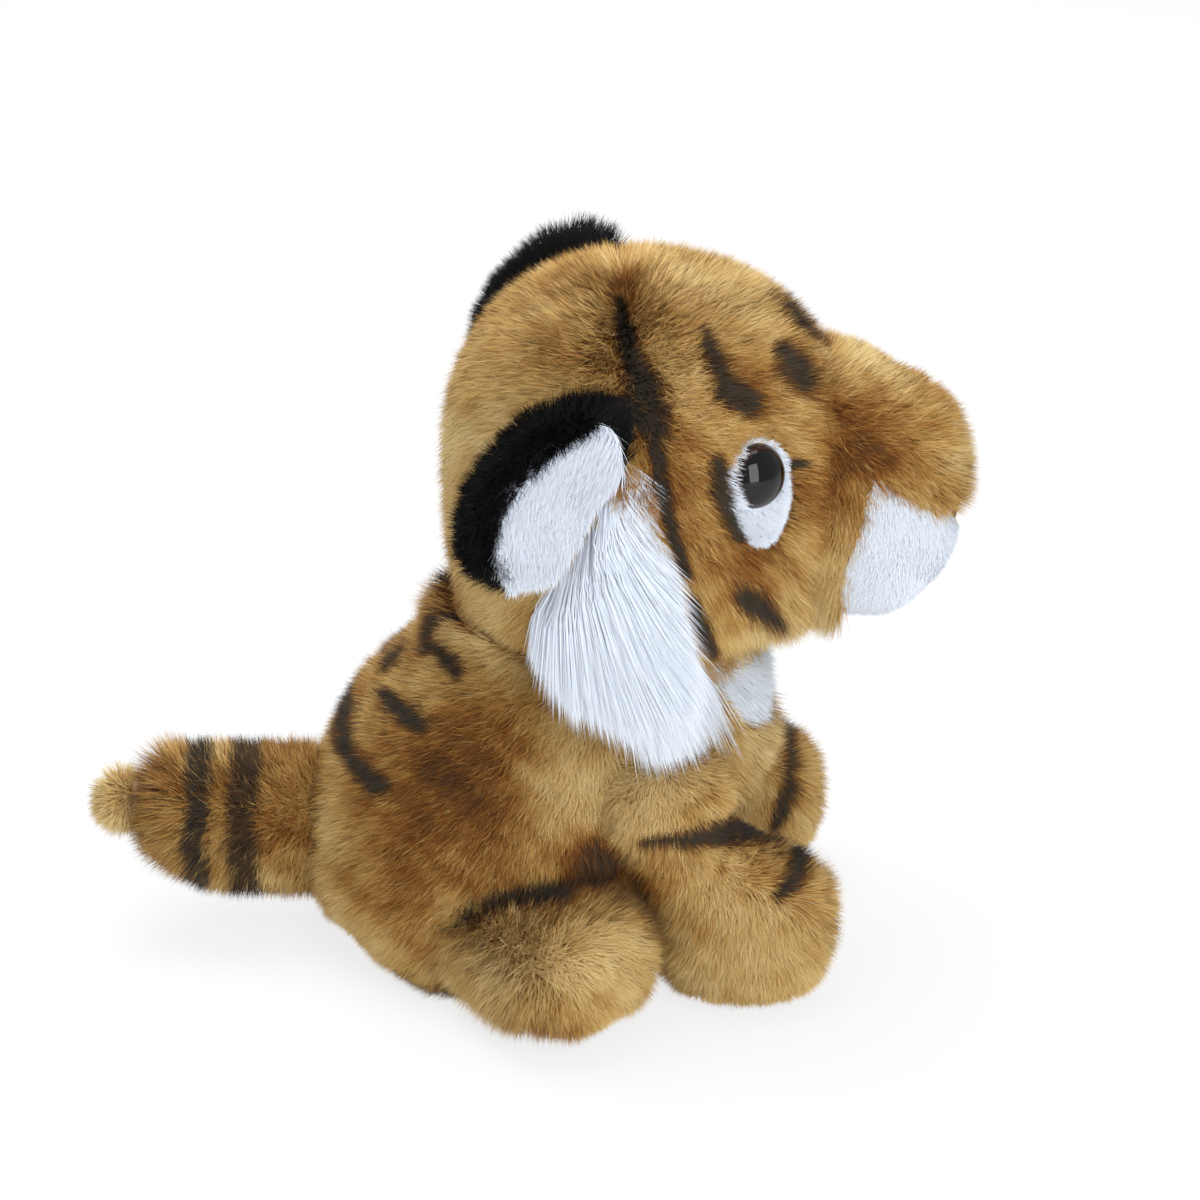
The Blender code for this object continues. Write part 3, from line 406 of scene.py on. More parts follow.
class Form:
    """A soft form: a table of sections set along a line and carried to its place."""

    def __init__(self, rows, lying=False, place=None, side=1, clamp=None):
        self.rows = rows
        self.lying = lying
        self.place = place or Matrix()
        self.side = side
        self.clamp = clamp

    def carried(self, rings, moved=True):
        """Points or, unmoved, directions in the form's own frame as the toy's."""
        along, long, wide = rings[..., 0], rings[..., 1], rings[..., 2] * self.side
        order = (along, wide, long) if self.lying else (long, wide, along)
        points = np.stack(order, axis=-1) @ np.array(self.place.to_3x3()).T
        return points + np.array(self.place.translation) * moved

    def surface(self, depth=0.0, start=None, end=None, steps=STEPS, around=AROUND):
        """Points and outward normals of the form, moved in by a depth.

        An open end is carried on straight to start or end.
        """
        rings = sections(self.rows, steps, around)
        if self.clamp:
            rings = self.clamp(rings)
        normals = outward(rings)
        rings = rings - depth * normals
        for limit, edge in ((start, 0), (end, -1)):
            if limit is not None:
                ring = rings[edge : edge + 1 or None].copy()
                ring[:, :, 0] = limit
                parts = [ring, rings] if edge == 0 else [rings, ring]
                rings = np.concatenate(parts)
                turn = normals[edge : edge + 1 or None]
                parts = [turn, normals] if edge == 0 else [normals, turn]
                normals = np.concatenate(parts)
        return self.carried(rings), self.carried(normals, moved=False)

    def holds(self, points, depth):
        """Which points lie inside the form once it is moved in by a depth."""
        local = (points - np.array(self.place.translation)) @ np.array(self.place.to_3x3())
        if self.lying:
            along, wide, long = local.T
        else:
            long, wide, along = local.T
        line = flow(self.rows, STEPS)
        order = np.argsort(line[:, 0])
        middle, half, side, square = (np.interp(along, line[order, 0], line[order, i])
                                      for i in (1, 2, 3, 4))
        low, high = line[:, 0].min(), line[:, 0].max()
        open_low, open_high = self.rows[0][2] > 0, self.rows[-1][2] > 0
        inside = (along > low + depth * (not open_low)) & (along < high - depth * (not open_high))
        half, side = np.maximum(half - depth, 1e-6), np.maximum(side - depth, 1e-6)
        reach = np.abs((long - middle) / half) ** square + np.abs(wide / side) ** square
        return inside & (reach < 1)


def upright(shares, height, low_scale, high_scale, middle, width, base):
    """Rows of an upright form from shares of its height, back, front and width."""
    rows = []
    for rise, back, front, across, square in shares:
        low, high = middle - back * low_scale, middle + front * high_scale
        rows.append((base + rise * height, (low + high) / 2, (high - low) / 2,
                     across * width / 2, square))
    return rows


def ball_rows(radius, sign):
    """Sections of a ball round the origin, from an open rim to its equator."""
    rows = []
    for share in reversed(BALL_SHARES):
        half = radius * math.sqrt(1 - share**2)
        rows.append((-sign * share * radius, 0.0, half, half, ROUND))
    rows.append((0.0, 0.0, radius, radius, ROUND))
    return rows


def muzzle_rows():
    """Sections of the muzzle, one in front of another."""
    rows = []
    for reach, bottom, top, width, square in MUZZLE_SHARES:
        low = MUZZLE_BASE + bottom * MUZZLE_HEIGHT
        high = MUZZLE_BASE + top * MUZZLE_HEIGHT
        rows.append((MUZZLE_START + reach * MUZZLE_LENGTH, (low + high) / 2,
                     (high - low) / 2, width * MUZZLE_WIDTH / 2, square))
    return rows


def shoulder(side):
    """The middle of a foreleg's ball."""
    return Vector((SHOULDER_REACH, side * FORELEG_APART / 2, SHOULDER_HEIGHT))


def hip(side):
    """The middle of a hind leg's ball."""
    return Vector((HIP_REACH, side * HIP_APART / 2, FOOT_HEIGHT / 2))


def foreleg_form(side):
    """A foreleg from its sole up to the ball in the shoulder."""
    radius = FORELEG_WIDTH / 2
    rows = []
    for height, back, front, width, square in FORELEG_SHARES:
        low, high = -back * PAW_REACH, front * PAW_REACH
        rows.append(((height - 1) * SHOULDER_HEIGHT, (low + high) / 2, (high - low) / 2,
                     width * radius, square))
    rows += list(reversed(ball_rows(radius, -1)))
    return Form(rows, place=Matrix.Translation(shoulder(side)), side=side)


def hind_form(side):
    """A hind leg from the ball in the hip out to the end of the foot."""
    rows = ball_rows(HIP_ACROSS / 2, 1)
    for reach, height, width in FOOT_SHARES:
        rows.append((reach * FOOT_LENGTH, 0.0, height * FOOT_HEIGHT / 2,
                     width * FOOT_WIDTH / 2, ROUND))
    place = Matrix.Translation(hip(side)) @ Matrix.Rotation(side * FOOT_SPLAY, 4, "Z")
    return Form(rows, lying=True, place=place, side=side)


def tail_form():
    """The tail from the ball in its root out to where the cloth is gathered."""
    rows = ball_rows(TAIL_ACROSS / 2, 1)
    for reach, radius, lift in TAIL_SHARES:
        rows.append((reach * TAIL_LENGTH, lift * TAIL_LIFT, radius * TAIL_ACROSS / 2,
                     radius * TAIL_ACROSS / 2, ROUND))
    root = Matrix.Translation((-TAIL_ROOT, 0.0, TAIL_LEVEL))
    return Form(rows, lying=True, place=root @ Matrix.Rotation(math.pi, 4, "Z"))


def ear_directions(side):
    """Along the ear's root, up the ear, and out of its lining."""
    along = Vector((-math.sin(EAR_LEAN), 0.0, -math.cos(EAR_LEAN)))
    back = Vector((-math.cos(EAR_SWEEP), 0.0, math.sin(EAR_SWEEP)))
    aside = Vector((0.0, float(side), 0.0))
    up = (back * math.cos(EAR_SPREAD) + aside * math.sin(EAR_SPREAD)).normalized()
    along = (along - along.dot(up) * up).normalized()
    lining = along.cross(up) * side
    if lining.dot(aside) < 0:
        lining = -lining
    return along, up, lining


def ear_form(side, start, inset, thickness, low, high, shorter=0.0):
    """One layer of an ear, held between two depths, with its edges curled forward."""
    along, up, lining = ear_directions(side)
    turn = Matrix((up, lining, along)).transposed().to_4x4()
    root = Vector((EAR_ROOT_REACH, side * EAR_ROOT_APART / 2, NECK + EAR_ROOT_RISE))
    height = EAR_HEIGHT - inset - start - shorter
    rows = []
    for reach, width, thick in EAR_SHARES:
        rows.append((start + reach * height, 0.0, width * (EAR_WIDTH / 2 - inset),
                     thick * thickness, ROUND))

    def cupped(rings):
        rings = rings.copy()
        middle, half = (low + high) / 2, (high - low) / 2
        # The layer is a flat pillow: a tanh of its depth keeps its faces level
        rings[..., 2] = middle + half * np.tanh((rings[..., 2] - middle) / half * 1.4)
        rings[..., 2] += EAR_CUP * (2 * rings[..., 1] / EAR_WIDTH) ** 2
        return rings

    return Form(rows, lying=True, place=Matrix.Translation(root) @ turn, clamp=cupped)


TRUNK = Form(upright(TRUNK_SHARES, TRUNK_HEIGHT, TRUNK_BACK, TRUNK_FRONT, 0.0, TRUNK_WIDTH, 0.0))
SKULL = Form(upright(SKULL_SHARES, SKULL_HEIGHT, SKULL_LENGTH / 2, SKULL_LENGTH / 2,
                     SKULL_MIDDLE, SKULL_WIDTH, NECK))
MUZZLE = Form(muzzle_rows(), lying=True)
TAIL = tail_form()
SIDES = ((-1, "right"), (1, "left"))
FORELEGS = {side: foreleg_form(side) for side, word in SIDES}
HIND_LEGS = {side: hind_form(side) for side, word in SIDES}


def skull_point(level, reach, side):
    """The point of the skull at a level and reach, and its outward normal."""
    rings = sections(SKULL.rows, SEARCH_STEPS, SEARCH_AROUND)
    normals = outward(rings)
    miss = (rings[..., 0] - level) ** 2 + (rings[..., 1] - reach) ** 2
    miss[rings[..., 2] < 0] = np.inf
    i, j = np.unravel_index(np.argmin(miss), miss.shape)
    along, long, wide = rings[i, j]
    n_along, n_long, n_wide = normals[i, j]
    return Vector((long, side * wide, along)), Vector((n_long, side * n_wide, n_along))


def frame_at(point, away, up=Vector((0.0, 0.0, 1.0))):
    """A place whose Z axis points away and whose Y axis leans up."""
    z = away.normalized()
    x = up.cross(z).normalized()
    turn = Matrix((x, z.cross(x), z)).transposed().to_4x4()
    return Matrix.Translation(point) @ turn


EYE_PLACES = {side: frame_at(*skull_point(NECK + EYE_RISE, SKULL_MIDDLE + EYE_REACH, side))
              for side, word in SIDES}


def photo_place(points):
    """Where points of the right half, or mirrored ones of the left, lie in the photograph.

    A pixel is the middle of the frame plus the focal length times the distance across or
    up over the distance ahead.
    """
    x = points[:, 0] - VIEW_TARGET[0]
    y = -np.abs(points[:, 1])
    z = points[:, 2] - VIEW_TARGET[2]
    ahead = VIEW_DISTANCE + y * math.cos(VIEW_ELEVATION) - z * math.sin(VIEW_ELEVATION)
    above = y * math.sin(VIEW_ELEVATION) + z * math.cos(VIEW_ELEVATION)
    middle = VIEW_PIXELS / 2
    return np.column_stack([middle + VIEW_FOCAL_PIXELS * x / ahead,
                            middle - VIEW_FOCAL_PIXELS * above / ahead])


# Dark marks, as lines of (pixel across, pixel down, half width in pixels)
HEAD_MARKS = (
    ((619, 300, 4), (625, 332, 8), (636, 366, 12), (649, 402, 17), (656, 428, 14)),
    ((626, 402, 10), (650, 424, 15)),
    ((655, 440, 8), (663, 490, 6), (672, 535, 6), (686, 572, 5)),
    ((692, 600, 5), (701, 625, 8), (712, 650, 6)),
    ((703, 328, 4), (714, 358, 8), (726, 388, 12), (748, 404, 12)),
    ((783, 350, 9), (793, 366, 15), (804, 381, 12)),
    ((774, 290, 5), (800, 318, 8), (826, 338, 7)),
    ((718, 462, 7), (722, 488, 10), (730, 514, 11), (738, 534, 7)),
    ((784, 465, 6), (806, 463, 3)),
    ((742, 594, 9), (757, 606, 12), (778, 621, 7)),
)
TRUNK_MARKS = (
    ((441, 600, 4), (433, 628, 5), (427, 650, 5)),
    ((438, 645, 4), (449, 659, 8), (459, 671, 7)),
    ((400, 645, 7), (392, 655, 9), (388, 668, 5)),
    ((386, 694, 6), (404, 711, 11), (420, 724, 9)),
    ((352, 700, 6), (345, 720, 8), (348, 750, 9)),
    ((350, 752, 8), (366, 774, 10), (382, 786, 9)),
)
FORELEG_MARKS = (
    ((640, 842, 4), (690, 838, 8), (740, 829, 13), (788, 822, 14)),
    ((800, 850, 7), (796, 872, 11), (782, 895, 7)),
)
HIND_MARKS = (
    ((424, 934, 5), (464, 914, 8), (505, 894, 11), (545, 888, 14), (562, 893, 10)),
)
# Deeper or paler places, partly the dye's own and partly painted shade in creases, hollows
# and shaded sides and painted light on lit tops: pixel across, pixel down, radius in pixels,
# change of dye
HEAD_DYE_AND_PAINTED_SHADING = (
    (872, 440, 48, -0.30),
    (822, 485, 36, -0.26),
    (828, 562, 28, 0.12),
    (662, 480, 34, -0.20),
    (690, 335, 50, 0.08),
    (755, 380, 34, -0.12),
    # The cheek, darker where less light falls on it: painted shade
    (735, 560, 50, -0.22),
    (765, 648, 36, 0.16),
    (815, 615, 34, 0.20),
    # Paler on top of the head: partly cream dye, partly painted light from above
    (690, 258, 44, 0.16),
    (760, 285, 36, 0.14),
    (470, 440, 60, 0.20),
    (500, 590, 40, 0.14),
    (868, 356, 26, 0.40),
    (902, 378, 20, 0.24),
    (968, 450, 20, 0.14),
)
TRUNK_DYE_AND_PAINTED_SHADING = (
    (450, 790, 74, -0.34),
    (500, 715, 42, -0.12),
    (385, 885, 44, -0.10),
    # The crease where the legs meet the trunk: painted shade
    (596, 862, 36, -0.60),
    (625, 790, 62, 0.24),
    (350, 935, 44, 0.12),
    (520, 880, 60, -0.04),
    (460, 620, 30, 0.10),
    (760, 748, 34, 0.30),
)
LEG_DYE_AND_PAINTED_SHADING = (
    # The same crease where the legs meet the trunk: painted shade
    (578, 866, 30, -0.60),
    (515, 942, 54, 0.24),
    (585, 966, 30, 0.20),
    (640, 790, 60, 0.20),
    (620, 965, 44, 0.08),
    (480, 1010, 44, 0.05),
    (650, 880, 26, -0.14),
    (715, 885, 48, 0.08),
    (800, 950, 60, 0.12),
    (720, 985, 50, 0.06),
)
# Outlines in pixels of the white panels
MUZZLE_WHITE = ((875, 478), (922, 503), (960, 512), (1020, 512), (1020, 660), (826, 660),
                (836, 618), (850, 560))
RUFF_ROOTS = ((618, 448), (622, 490), (633, 535), (654, 580), (678, 640), (706, 700), (640, 700),
              (606, 690), (578, 670), (554, 640), (548, 600), (556, 572), (588, 520), (610, 480))
EAR_WHITE = ((640, 432), (606, 418), (578, 435), (546, 462), (514, 498), (498, 530), (498, 558),
             (512, 577), (556, 596), (572, 572), (600, 522), (628, 475), (648, 450))
# Where the ruff's locks end, down from its roots, and how far forward it reaches at a height
RUFF_TIPS_ACROSS = (500, 527, 560, 600, 640, 690, 735, 760)
RUFF_TIPS_DOWN = (575, 612, 655, 708, 758, 792, 792, 770)
RUFF_EDGE_DOWN = (440, 490, 540, 590, 640, 690)
RUFF_EDGE_ACROSS = (632, 640, 652, 672, 694, 730)


def line_distance(places, line):
    """How far places lie from a line, in half widths of the line where it is nearest."""
    nearest = np.full(len(places), np.inf)
    for (ax, ay, ar), (bx, by, br) in zip(line, line[1:]):
        start, run = np.array((ax, ay), float), np.array((bx - ax, by - ay), float)
        t = np.clip((places - start) @ run / (run @ run), 0, 1)
        gap = np.linalg.norm(places - start - t[:, None] * run, axis=1)
        nearest = np.minimum(nearest, gap / (ar + t * (br - ar)))
    return nearest


def inside_outline(places, outline):
    """Which places lie inside an outline, by how often a line to one side crosses it."""
    inside = np.zeros(len(places), bool)
    x, y = places.T
    for (ax, ay), (bx, by) in zip(outline, outline[1:] + outline[:1]):
        if ay != by:
            crosses = ((ay > y) != (by > y)) & (x < (bx - ax) * (y - ay) / (by - ay) + ax)
            inside ^= crosses
    return inside


def ripple(points, size, seed, waves=6):
    """A smooth wave through space from -1 to 1: the mean of sines in seeded directions."""
    draw = np.random.default_rng(seed)
    total = np.zeros(len(points))
    for _ in range(waves):
        wave = unit(draw.normal(size=3)) * 2 * math.pi / size * draw.uniform(0.7, 1.4)
        total += np.sin(points @ wave + draw.uniform(0, 2 * math.pi))
    return total / waves * 1.6


CLUMP_TABLE = np.random.default_rng(31).random((4096, 3))


def clump_middle(points, size):
    """The nearest clump middle: one lies at a hashed place in each cube of a lattice."""
    cell = np.floor(points / size).astype(np.int64)
    nearest = np.full(len(points), np.inf)
    found = np.zeros_like(points)
    for shift in itertools.product((-1, 0, 1), repeat=3):
        cube = cell + shift
        key = (cube[:, 0] * 73856093) ^ (cube[:, 1] * 19349663) ^ (cube[:, 2] * 83492791)
        middle = (cube + CLUMP_TABLE[key & 4095]) * size
        gap = ((points - middle) ** 2).sum(axis=1)
        closer = gap < nearest
        nearest[closer] = gap[closer]
        found[closer] = middle[closer]
    return found


def scattered(points, normals, density, draw):
    """Roots spread evenly over a closed grid of rings, with their normals.

    A root's cell is drawn by its share of the whole area, in even steps, and its place in
    the cell is the bilinear mean of the four corners.
    """
    corners = [points[:-1], np.roll(points[:-1], -1, 1), points[1:], np.roll(points[1:], -1, 1)]
    area = np.linalg.norm(np.cross(corners[3] - corners[0], corners[2] - corners[1]), axis=2) / 2
    sums = np.cumsum(area.ravel())
    count = int(sums[-1] * density)
    ticks = (np.arange(count) + draw.random(count)) / count * sums[-1]
    cell = np.minimum(np.searchsorted(sums, ticks), len(sums) - 1)
    row, column = np.unravel_index(cell, area.shape)
    s, t = draw.random((2, count, 1))
    beside = (column + 1) % points.shape[1]

    def mixed(grid):
        low = grid[row, column] * (1 - s) + grid[row, beside] * s
        high = grid[row + 1, column] * (1 - s) + grid[row + 1, beside] * s
        return low * (1 - t) + high * t

    return mixed(points), unit(mixed(normals))


def combed(roots, normals, comb, length, lean, draw, segments=1, hang=0.0, stray=0.4,
           clumps=(), pull=(0.45, 0.3), laid=1.0, loose=0.2):
    """Paths of strands, joints by strands by 3.

    Each step leaves the surface at an angle that grows from the root's lean to the tip's,
    times how far the pile is laid there, towards the comb's direction laid in the surface
    and turned a little at random.  Hang bends the later steps into the comb's own
    direction.  Each joint is then drawn to the middles of its clumps, more so towards the
    tip.
    """
    count = len(roots)
    flat = unit(comb - dot(comb, normals) * normals)
    aside = np.cross(normals, flat)
    turn = stray * draw.normal(size=(count, 1))
    turn += (0.35 * ripple(roots, 0.013, 5) + stray * ripple(roots, 0.0045, 6))[:, None]
    flat = flat * np.cos(turn) + aside * np.sin(turn)
    jitter = loose * draw.normal(size=(count, 1))
    size = (length * draw.uniform(0.78, 1.12, count) * np.ones(count))[:, None]
    laid = np.broadcast_to(laid, count)[:, None]
    path = [roots]
    for i in range(segments):
        share = (i + 0.5) / segments
        angle = (lean[0] + (lean[1] - lean[0]) * share) * laid + jitter
        step = normals * np.cos(angle) + flat * np.sin(angle)
        drop = hang * share
        step = unit(step * (1 - drop) + unit(comb) * drop)
        path.append(path[-1] + step * size / segments)
    for clump, share in zip(clumps, pull):
        way = clump_middle(roots, clump) - roots
        way -= dot(way, normals) * normals
        for i in range(1, segments + 1):
            path[i] = path[i] + share * way * (i / segments) ** 2.2
    for joint in path:
        joint[:, 2] = np.maximum(joint[:, 2], FLOOR_GAP)
    return np.array(path)


def strand_mesh(name, path, normals, width, tone, draw, softness=SOFTNESS):
    """A mesh of ribbons along the paths, each ending in a point.

    A ribbon's two edges lie half a width to each side of its path, square to both the
    path and the surface's normal, and turned about the path at random.  Its shading
    normal is a mean of its own and the surface's, because fine fibres scatter light
    round them and shade softly.
    """
    joints, count = len(path), len(path[0])
    roll = 0.5 * draw.normal(size=(count, 1))
    corners = np.empty((count, 2 * joints - 1, 3))
    shading = np.empty_like(corners)
    for i in range(joints - 1):
        way = unit(path[i + 1] - path[i])
        across = unit(np.cross(way, normals))
        across = across * np.cos(roll) + np.cross(way, across) * np.sin(roll)
        half = across * width / 2 * (1 - 0.25 * i / (joints - 1))
        corners[:, 2 * i] = path[i] - half
        corners[:, 2 * i + 1] = path[i] + half
        shading[:, 2 * i : 2 * i + 3] = (
            softness * normals + (1 - softness) * np.cross(across, way))[:, None]
    corners[:, -1] = path[-1]
    corners[..., 2] = np.maximum(corners[..., 2], FLOOR_GAP)
    # A strand's faces: a quad for each step but the last, which is a triangle
    around, starts = [], []
    for i in range(joints - 2):
        starts.append(len(around))
        around += [2 * i, 2 * i + 1, 2 * i + 3, 2 * i + 2]
    starts.append(len(around))
    around += [2 * joints - 4, 2 * joints - 3, 2 * joints - 2]
    around, starts = np.array(around), np.array(starts)
    step = np.arange(count)[:, None]
    loops = (step * (2 * joints - 1) + around).ravel()
    firsts = (step * len(around) + starts).ravel()
    reach = np.repeat(np.arange(joints) / (joints - 1), 2)[:-1]
    return filled(name, corners.reshape(-1, 3), loops, firsts,
                  np.repeat(tone, 2 * joints - 1), np.tile(reach, count),
                  shading=unit(shading).reshape(-1, 3))


def filled(name, corners, loops, firsts, tone, reach, shading=None):
    """A mesh from arrays, with the dye, painted shading included, and the share of the way to the tip at
    each point.

    Strands come with their shading normals, and with a map that lays them out by their dye and reach.
    """
    mesh = bpy.data.meshes.new(name)
    mesh.vertices.add(len(corners))
    mesh.vertices.foreach_set("co", corners.astype(np.float32).ravel())
    mesh.loops.add(len(loops))
    mesh.loops.foreach_set("vertex_index", loops.astype(np.int32))
    mesh.polygons.add(len(firsts))
    mesh.polygons.foreach_set("loop_start", firsts.astype(np.int32))
    for label, values in (("tone", tone), ("reach", reach)):
        held = mesh.attributes.new(label, "FLOAT", "POINT")
        held.data.foreach_set("value", np.asarray(values, np.float32))
    if shading is not None:
        # The strand's two edges lie a little apart on the map
        layer = mesh.uv_layers.new(name="OFBake")
        apart = np.where(np.arange(len(corners)) % 2, 0.004, -0.004)
        place = np.column_stack([np.clip(tone + apart, 0.002, 0.998), 0.01 + 0.98 * reach])
        layer.data.foreach_set("uv", place[loops].astype(np.float32).ravel())
    mesh.update(calc_edges=True)
    mesh.shade_smooth()
    if shading is not None:
        held = mesh.attributes.new("custom_normal", "FLOAT_VECTOR", "POINT")
        held.data.foreach_set("vector", shading.astype(np.float32).ravel())
        mesh.update()
    return mesh


def closed_surface(name, rings, tone=None):
    """A closed mesh over a grid of rings, with a fan of triangles at each end.

    An end ring that is a single point is that fan's middle; otherwise the mean is.
    """
    ends = []
    for edge in (0, -1):
        if np.ptp(rings[edge], axis=0).max() < 1e-7:
            ends.append(rings[edge][0])
            rings = rings[1:] if edge == 0 else rings[:-1]
        else:
            ends.append(rings[edge].mean(axis=0))
    count, around = rings.shape[:2]
    corners = np.vstack([rings.reshape(-1, 3), ends])
    index = np.arange(count * around).reshape(count, around)
    beside = np.roll(index, -1, axis=1)
    quads = np.stack([index[:-1], beside[:-1], beside[1:], index[1:]], axis=2).reshape(-1, 4)
    low, high = count * around, count * around + 1
    fans = np.concatenate([
        np.column_stack([beside[0], index[0], np.full(around, low)]),
        np.column_stack([index[-1], beside[-1], np.full(around, high)]),
    ])
    p, q, r, s = (corners[quads[:, i]] for i in range(4))
    volume = dot(p, np.cross(q, r)).sum() + dot(p, np.cross(r, s)).sum()
    a, b, c = (corners[fans[:, i]] for i in range(3))
    volume += dot(a, np.cross(b, c)).sum()
    if volume < 0:
        quads, fans = quads[:, ::-1], fans[:, ::-1]
    loops = np.concatenate([quads.ravel(), fans.ravel()])
    firsts = np.concatenate([np.arange(len(quads)) * 4,
                             len(quads) * 4 + np.arange(len(fans)) * 3])
    values = np.full(len(corners), TAN) if tone is None else tone(corners)
    # A backing's reach is 0, so a pile backing takes the roots' colours: painted shade at the bottom of
    # the pile
    return filled(name, corners, loops, firsts, values, np.zeros(len(corners)))


def add(tree, kind, place, settings=None, links=None):
    """A node with its settings and with its inputs linked or set."""
    made = tree.nodes.new(kind)
    made.location = place
    for key, value in (settings or {}).items():
        setattr(made, key, value)
    for key, value in (links or {}).items():
        if isinstance(value, bpy.types.NodeSocket):
            tree.links.new(value, made.inputs[key])
        else:
            made.inputs[key].default_value = value
    return made


def new_material(name, **sockets):
    """A material's tree and its Principled shader, with constants on its sockets."""
    made = bpy.data.materials.new(name)
    made.use_nodes = True
    shader = made.node_tree.nodes["Principled BSDF"]
    for key, value in sockets.items():
        shader.inputs[key.replace("_", " ").title().replace("Ior", "IOR")].default_value = value
    return made, made.node_tree, shader


def ramp(tree, place, stops, factor):
    """A colour ramp through stops of (place, colour)."""
    made = add(tree, "ShaderNodeValToRGB", place, links={"Fac": factor})
    elements = made.color_ramp.elements
    elements.remove(elements[1])
    elements[0].position = stops[0][0]
    elements[0].color = (*stops[0][1], 1.0)
    for position, tint in stops[1:]:
        elements.new(position).color = (*tint, 1.0)
    return made.outputs["Color"]


def pile_material(name, root_stops, tip_stops, sheen=0.08):
    """Dyed pile: the dye picks a root and a tip colour, and the reach mixes them; darker roots are painted
    shade.
    """
    made, tree, shader = new_material(name, roughness=0.7, specular_ior_level=0.15,
                                      sheen_weight=sheen, sheen_roughness=0.45)
    tone = add(tree, "ShaderNodeAttribute", (-900, 0), {"attribute_name": "tone"})
    reach = add(tree, "ShaderNodeAttribute", (-900, -250), {"attribute_name": "reach"})
    # The root colours, darker than the tips', are painted shade deep in the pile
    roots = ramp(tree, (-650, 200), root_stops, tone.outputs["Fac"])
    tips = ramp(tree, (-650, -50), tip_stops, tone.outputs["Fac"])
    share = add(tree, "ShaderNodeMapRange", (-650, -320), {"interpolation_type": "SMOOTHSTEP"},
                {"Value": reach.outputs["Fac"], "From Min": 0.1, "From Max": 0.85})
    mixed = add(tree, "ShaderNodeMix", (-300, 100), {"data_type": "RGBA"},
                {0: share.outputs["Result"], 6: roots, 7: tips})
    tree.links.new(mixed.outputs[2], shader.inputs["Base Color"])
    return made


def tan_plush():
    """Long acrylic pile, dyed from black through brown and tan to cream.

    Deep roots under pale tips give the eye a soft, warm depth that shifts with the lie; the
    roots' darker colours are painted shade deep in the pile.
    """
    found = bpy.data.materials.get("acrylic pile, tan")
    if found:
        return found
    c = bpy.context.scene.tiger_colours
    places = (0.0, BROWN, ORANGE, TAN, 1.0)
    roots = (c.stripe_root, c.brown_root, c.orange_root, c.tan_root, c.cream_root)
    tips = (c.stripe_tip, c.brown_tip, c.orange_tip, c.tan_tip, c.cream_tip)
    return pile_material("acrylic pile, tan", list(zip(places, roots)), list(zip(places, tips)))


def white_plush():
    """Soft acrylic pile in a cool white: a bright, even down with faint blue hollows painted as shade in
    its roots.
    """
    found = bpy.data.materials.get("acrylic pile, white")
    if found:
        return found
    c = bpy.context.scene.tiger_colours
    cream = colour("EFE6CC")
    return pile_material("acrylic pile, white", [(0.0, c.white_root), (1.0, cream)],
                         [(0.0, c.white_tip), (1.0, colour("F6F0DF"))])


def black_plush():
    """Dense acrylic pile in black, which swallows light but for a dim grey at its tips; its darker roots
    are painted shade.
    """
    found = bpy.data.materials.get("acrylic pile, black")
    if found:
        return found
    c = bpy.context.scene.tiger_colours
    return pile_material("acrylic pile, black", [(0.0, c.ear_root), (1.0, c.ear_root)],
                         [(0.0, c.ear_tip), (1.0, colour("222223"))], sheen=0.02)


def put(name, mesh, body, finish, replaces=(), bend=None):
    """A finished piece: on its body and finish, or, given a bend, with its place baked into its mesh."""
    made = bpy.data.objects.new(name, mesh)
    bpy.context.scene.collection.objects.link(made)
    mesh.materials.append(finish)
    if bend:
        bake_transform(made)
    else:
        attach(made, body)
    if replaces:
        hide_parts(*replaces)
    return made


def tan_dye_and_shading(points, marks, shades, draw=None):
    """The dye at points: a soft ripple of tans, paler or deeper places, and dark marks.

    A mark's edge runs from dark through brown to tan, a little further in or out on each
    strand by chance.  The paler or deeper places are partly the dye's own and partly painted
    shade in creases, hollows and shaded sides, and painted light on lit tops.
    """
    places = photo_place(points)
    dye_and_shade = TAN + 0.09 * ripple(points, 0.023, 11) + 0.07 * ripple(points, 0.008, 12)
    # Paler or deeper places: partly dye, partly painted light and shade
    for x, y, radius, change in shades:
        gap = ((places - (x, y)) ** 2).sum(axis=1) / radius**2
        dye_and_shade = dye_and_shade + change * np.exp(-gap)
    near = np.full(len(points), np.inf)
    for line in marks:
        near = np.minimum(near, line_distance(places, line))
    near = near + 0.22 * ripple(points, 0.006, 13)
    black = BLACK
    if draw is not None:
        dye_and_shade = dye_and_shade + 0.09 * draw.normal(size=len(points)) + 0.2 * (draw.random(len(points)) < 0.06)
        near = near + 0.3 * draw.normal(size=len(points))
        black = BLACK + 0.10 * draw.random(len(points)) ** 2
    dark = 1 - smooth(near, 0.6, 1.7)
    return np.clip(dye_and_shade * (1 - dark) + black * dark, 0.0, 1.0)


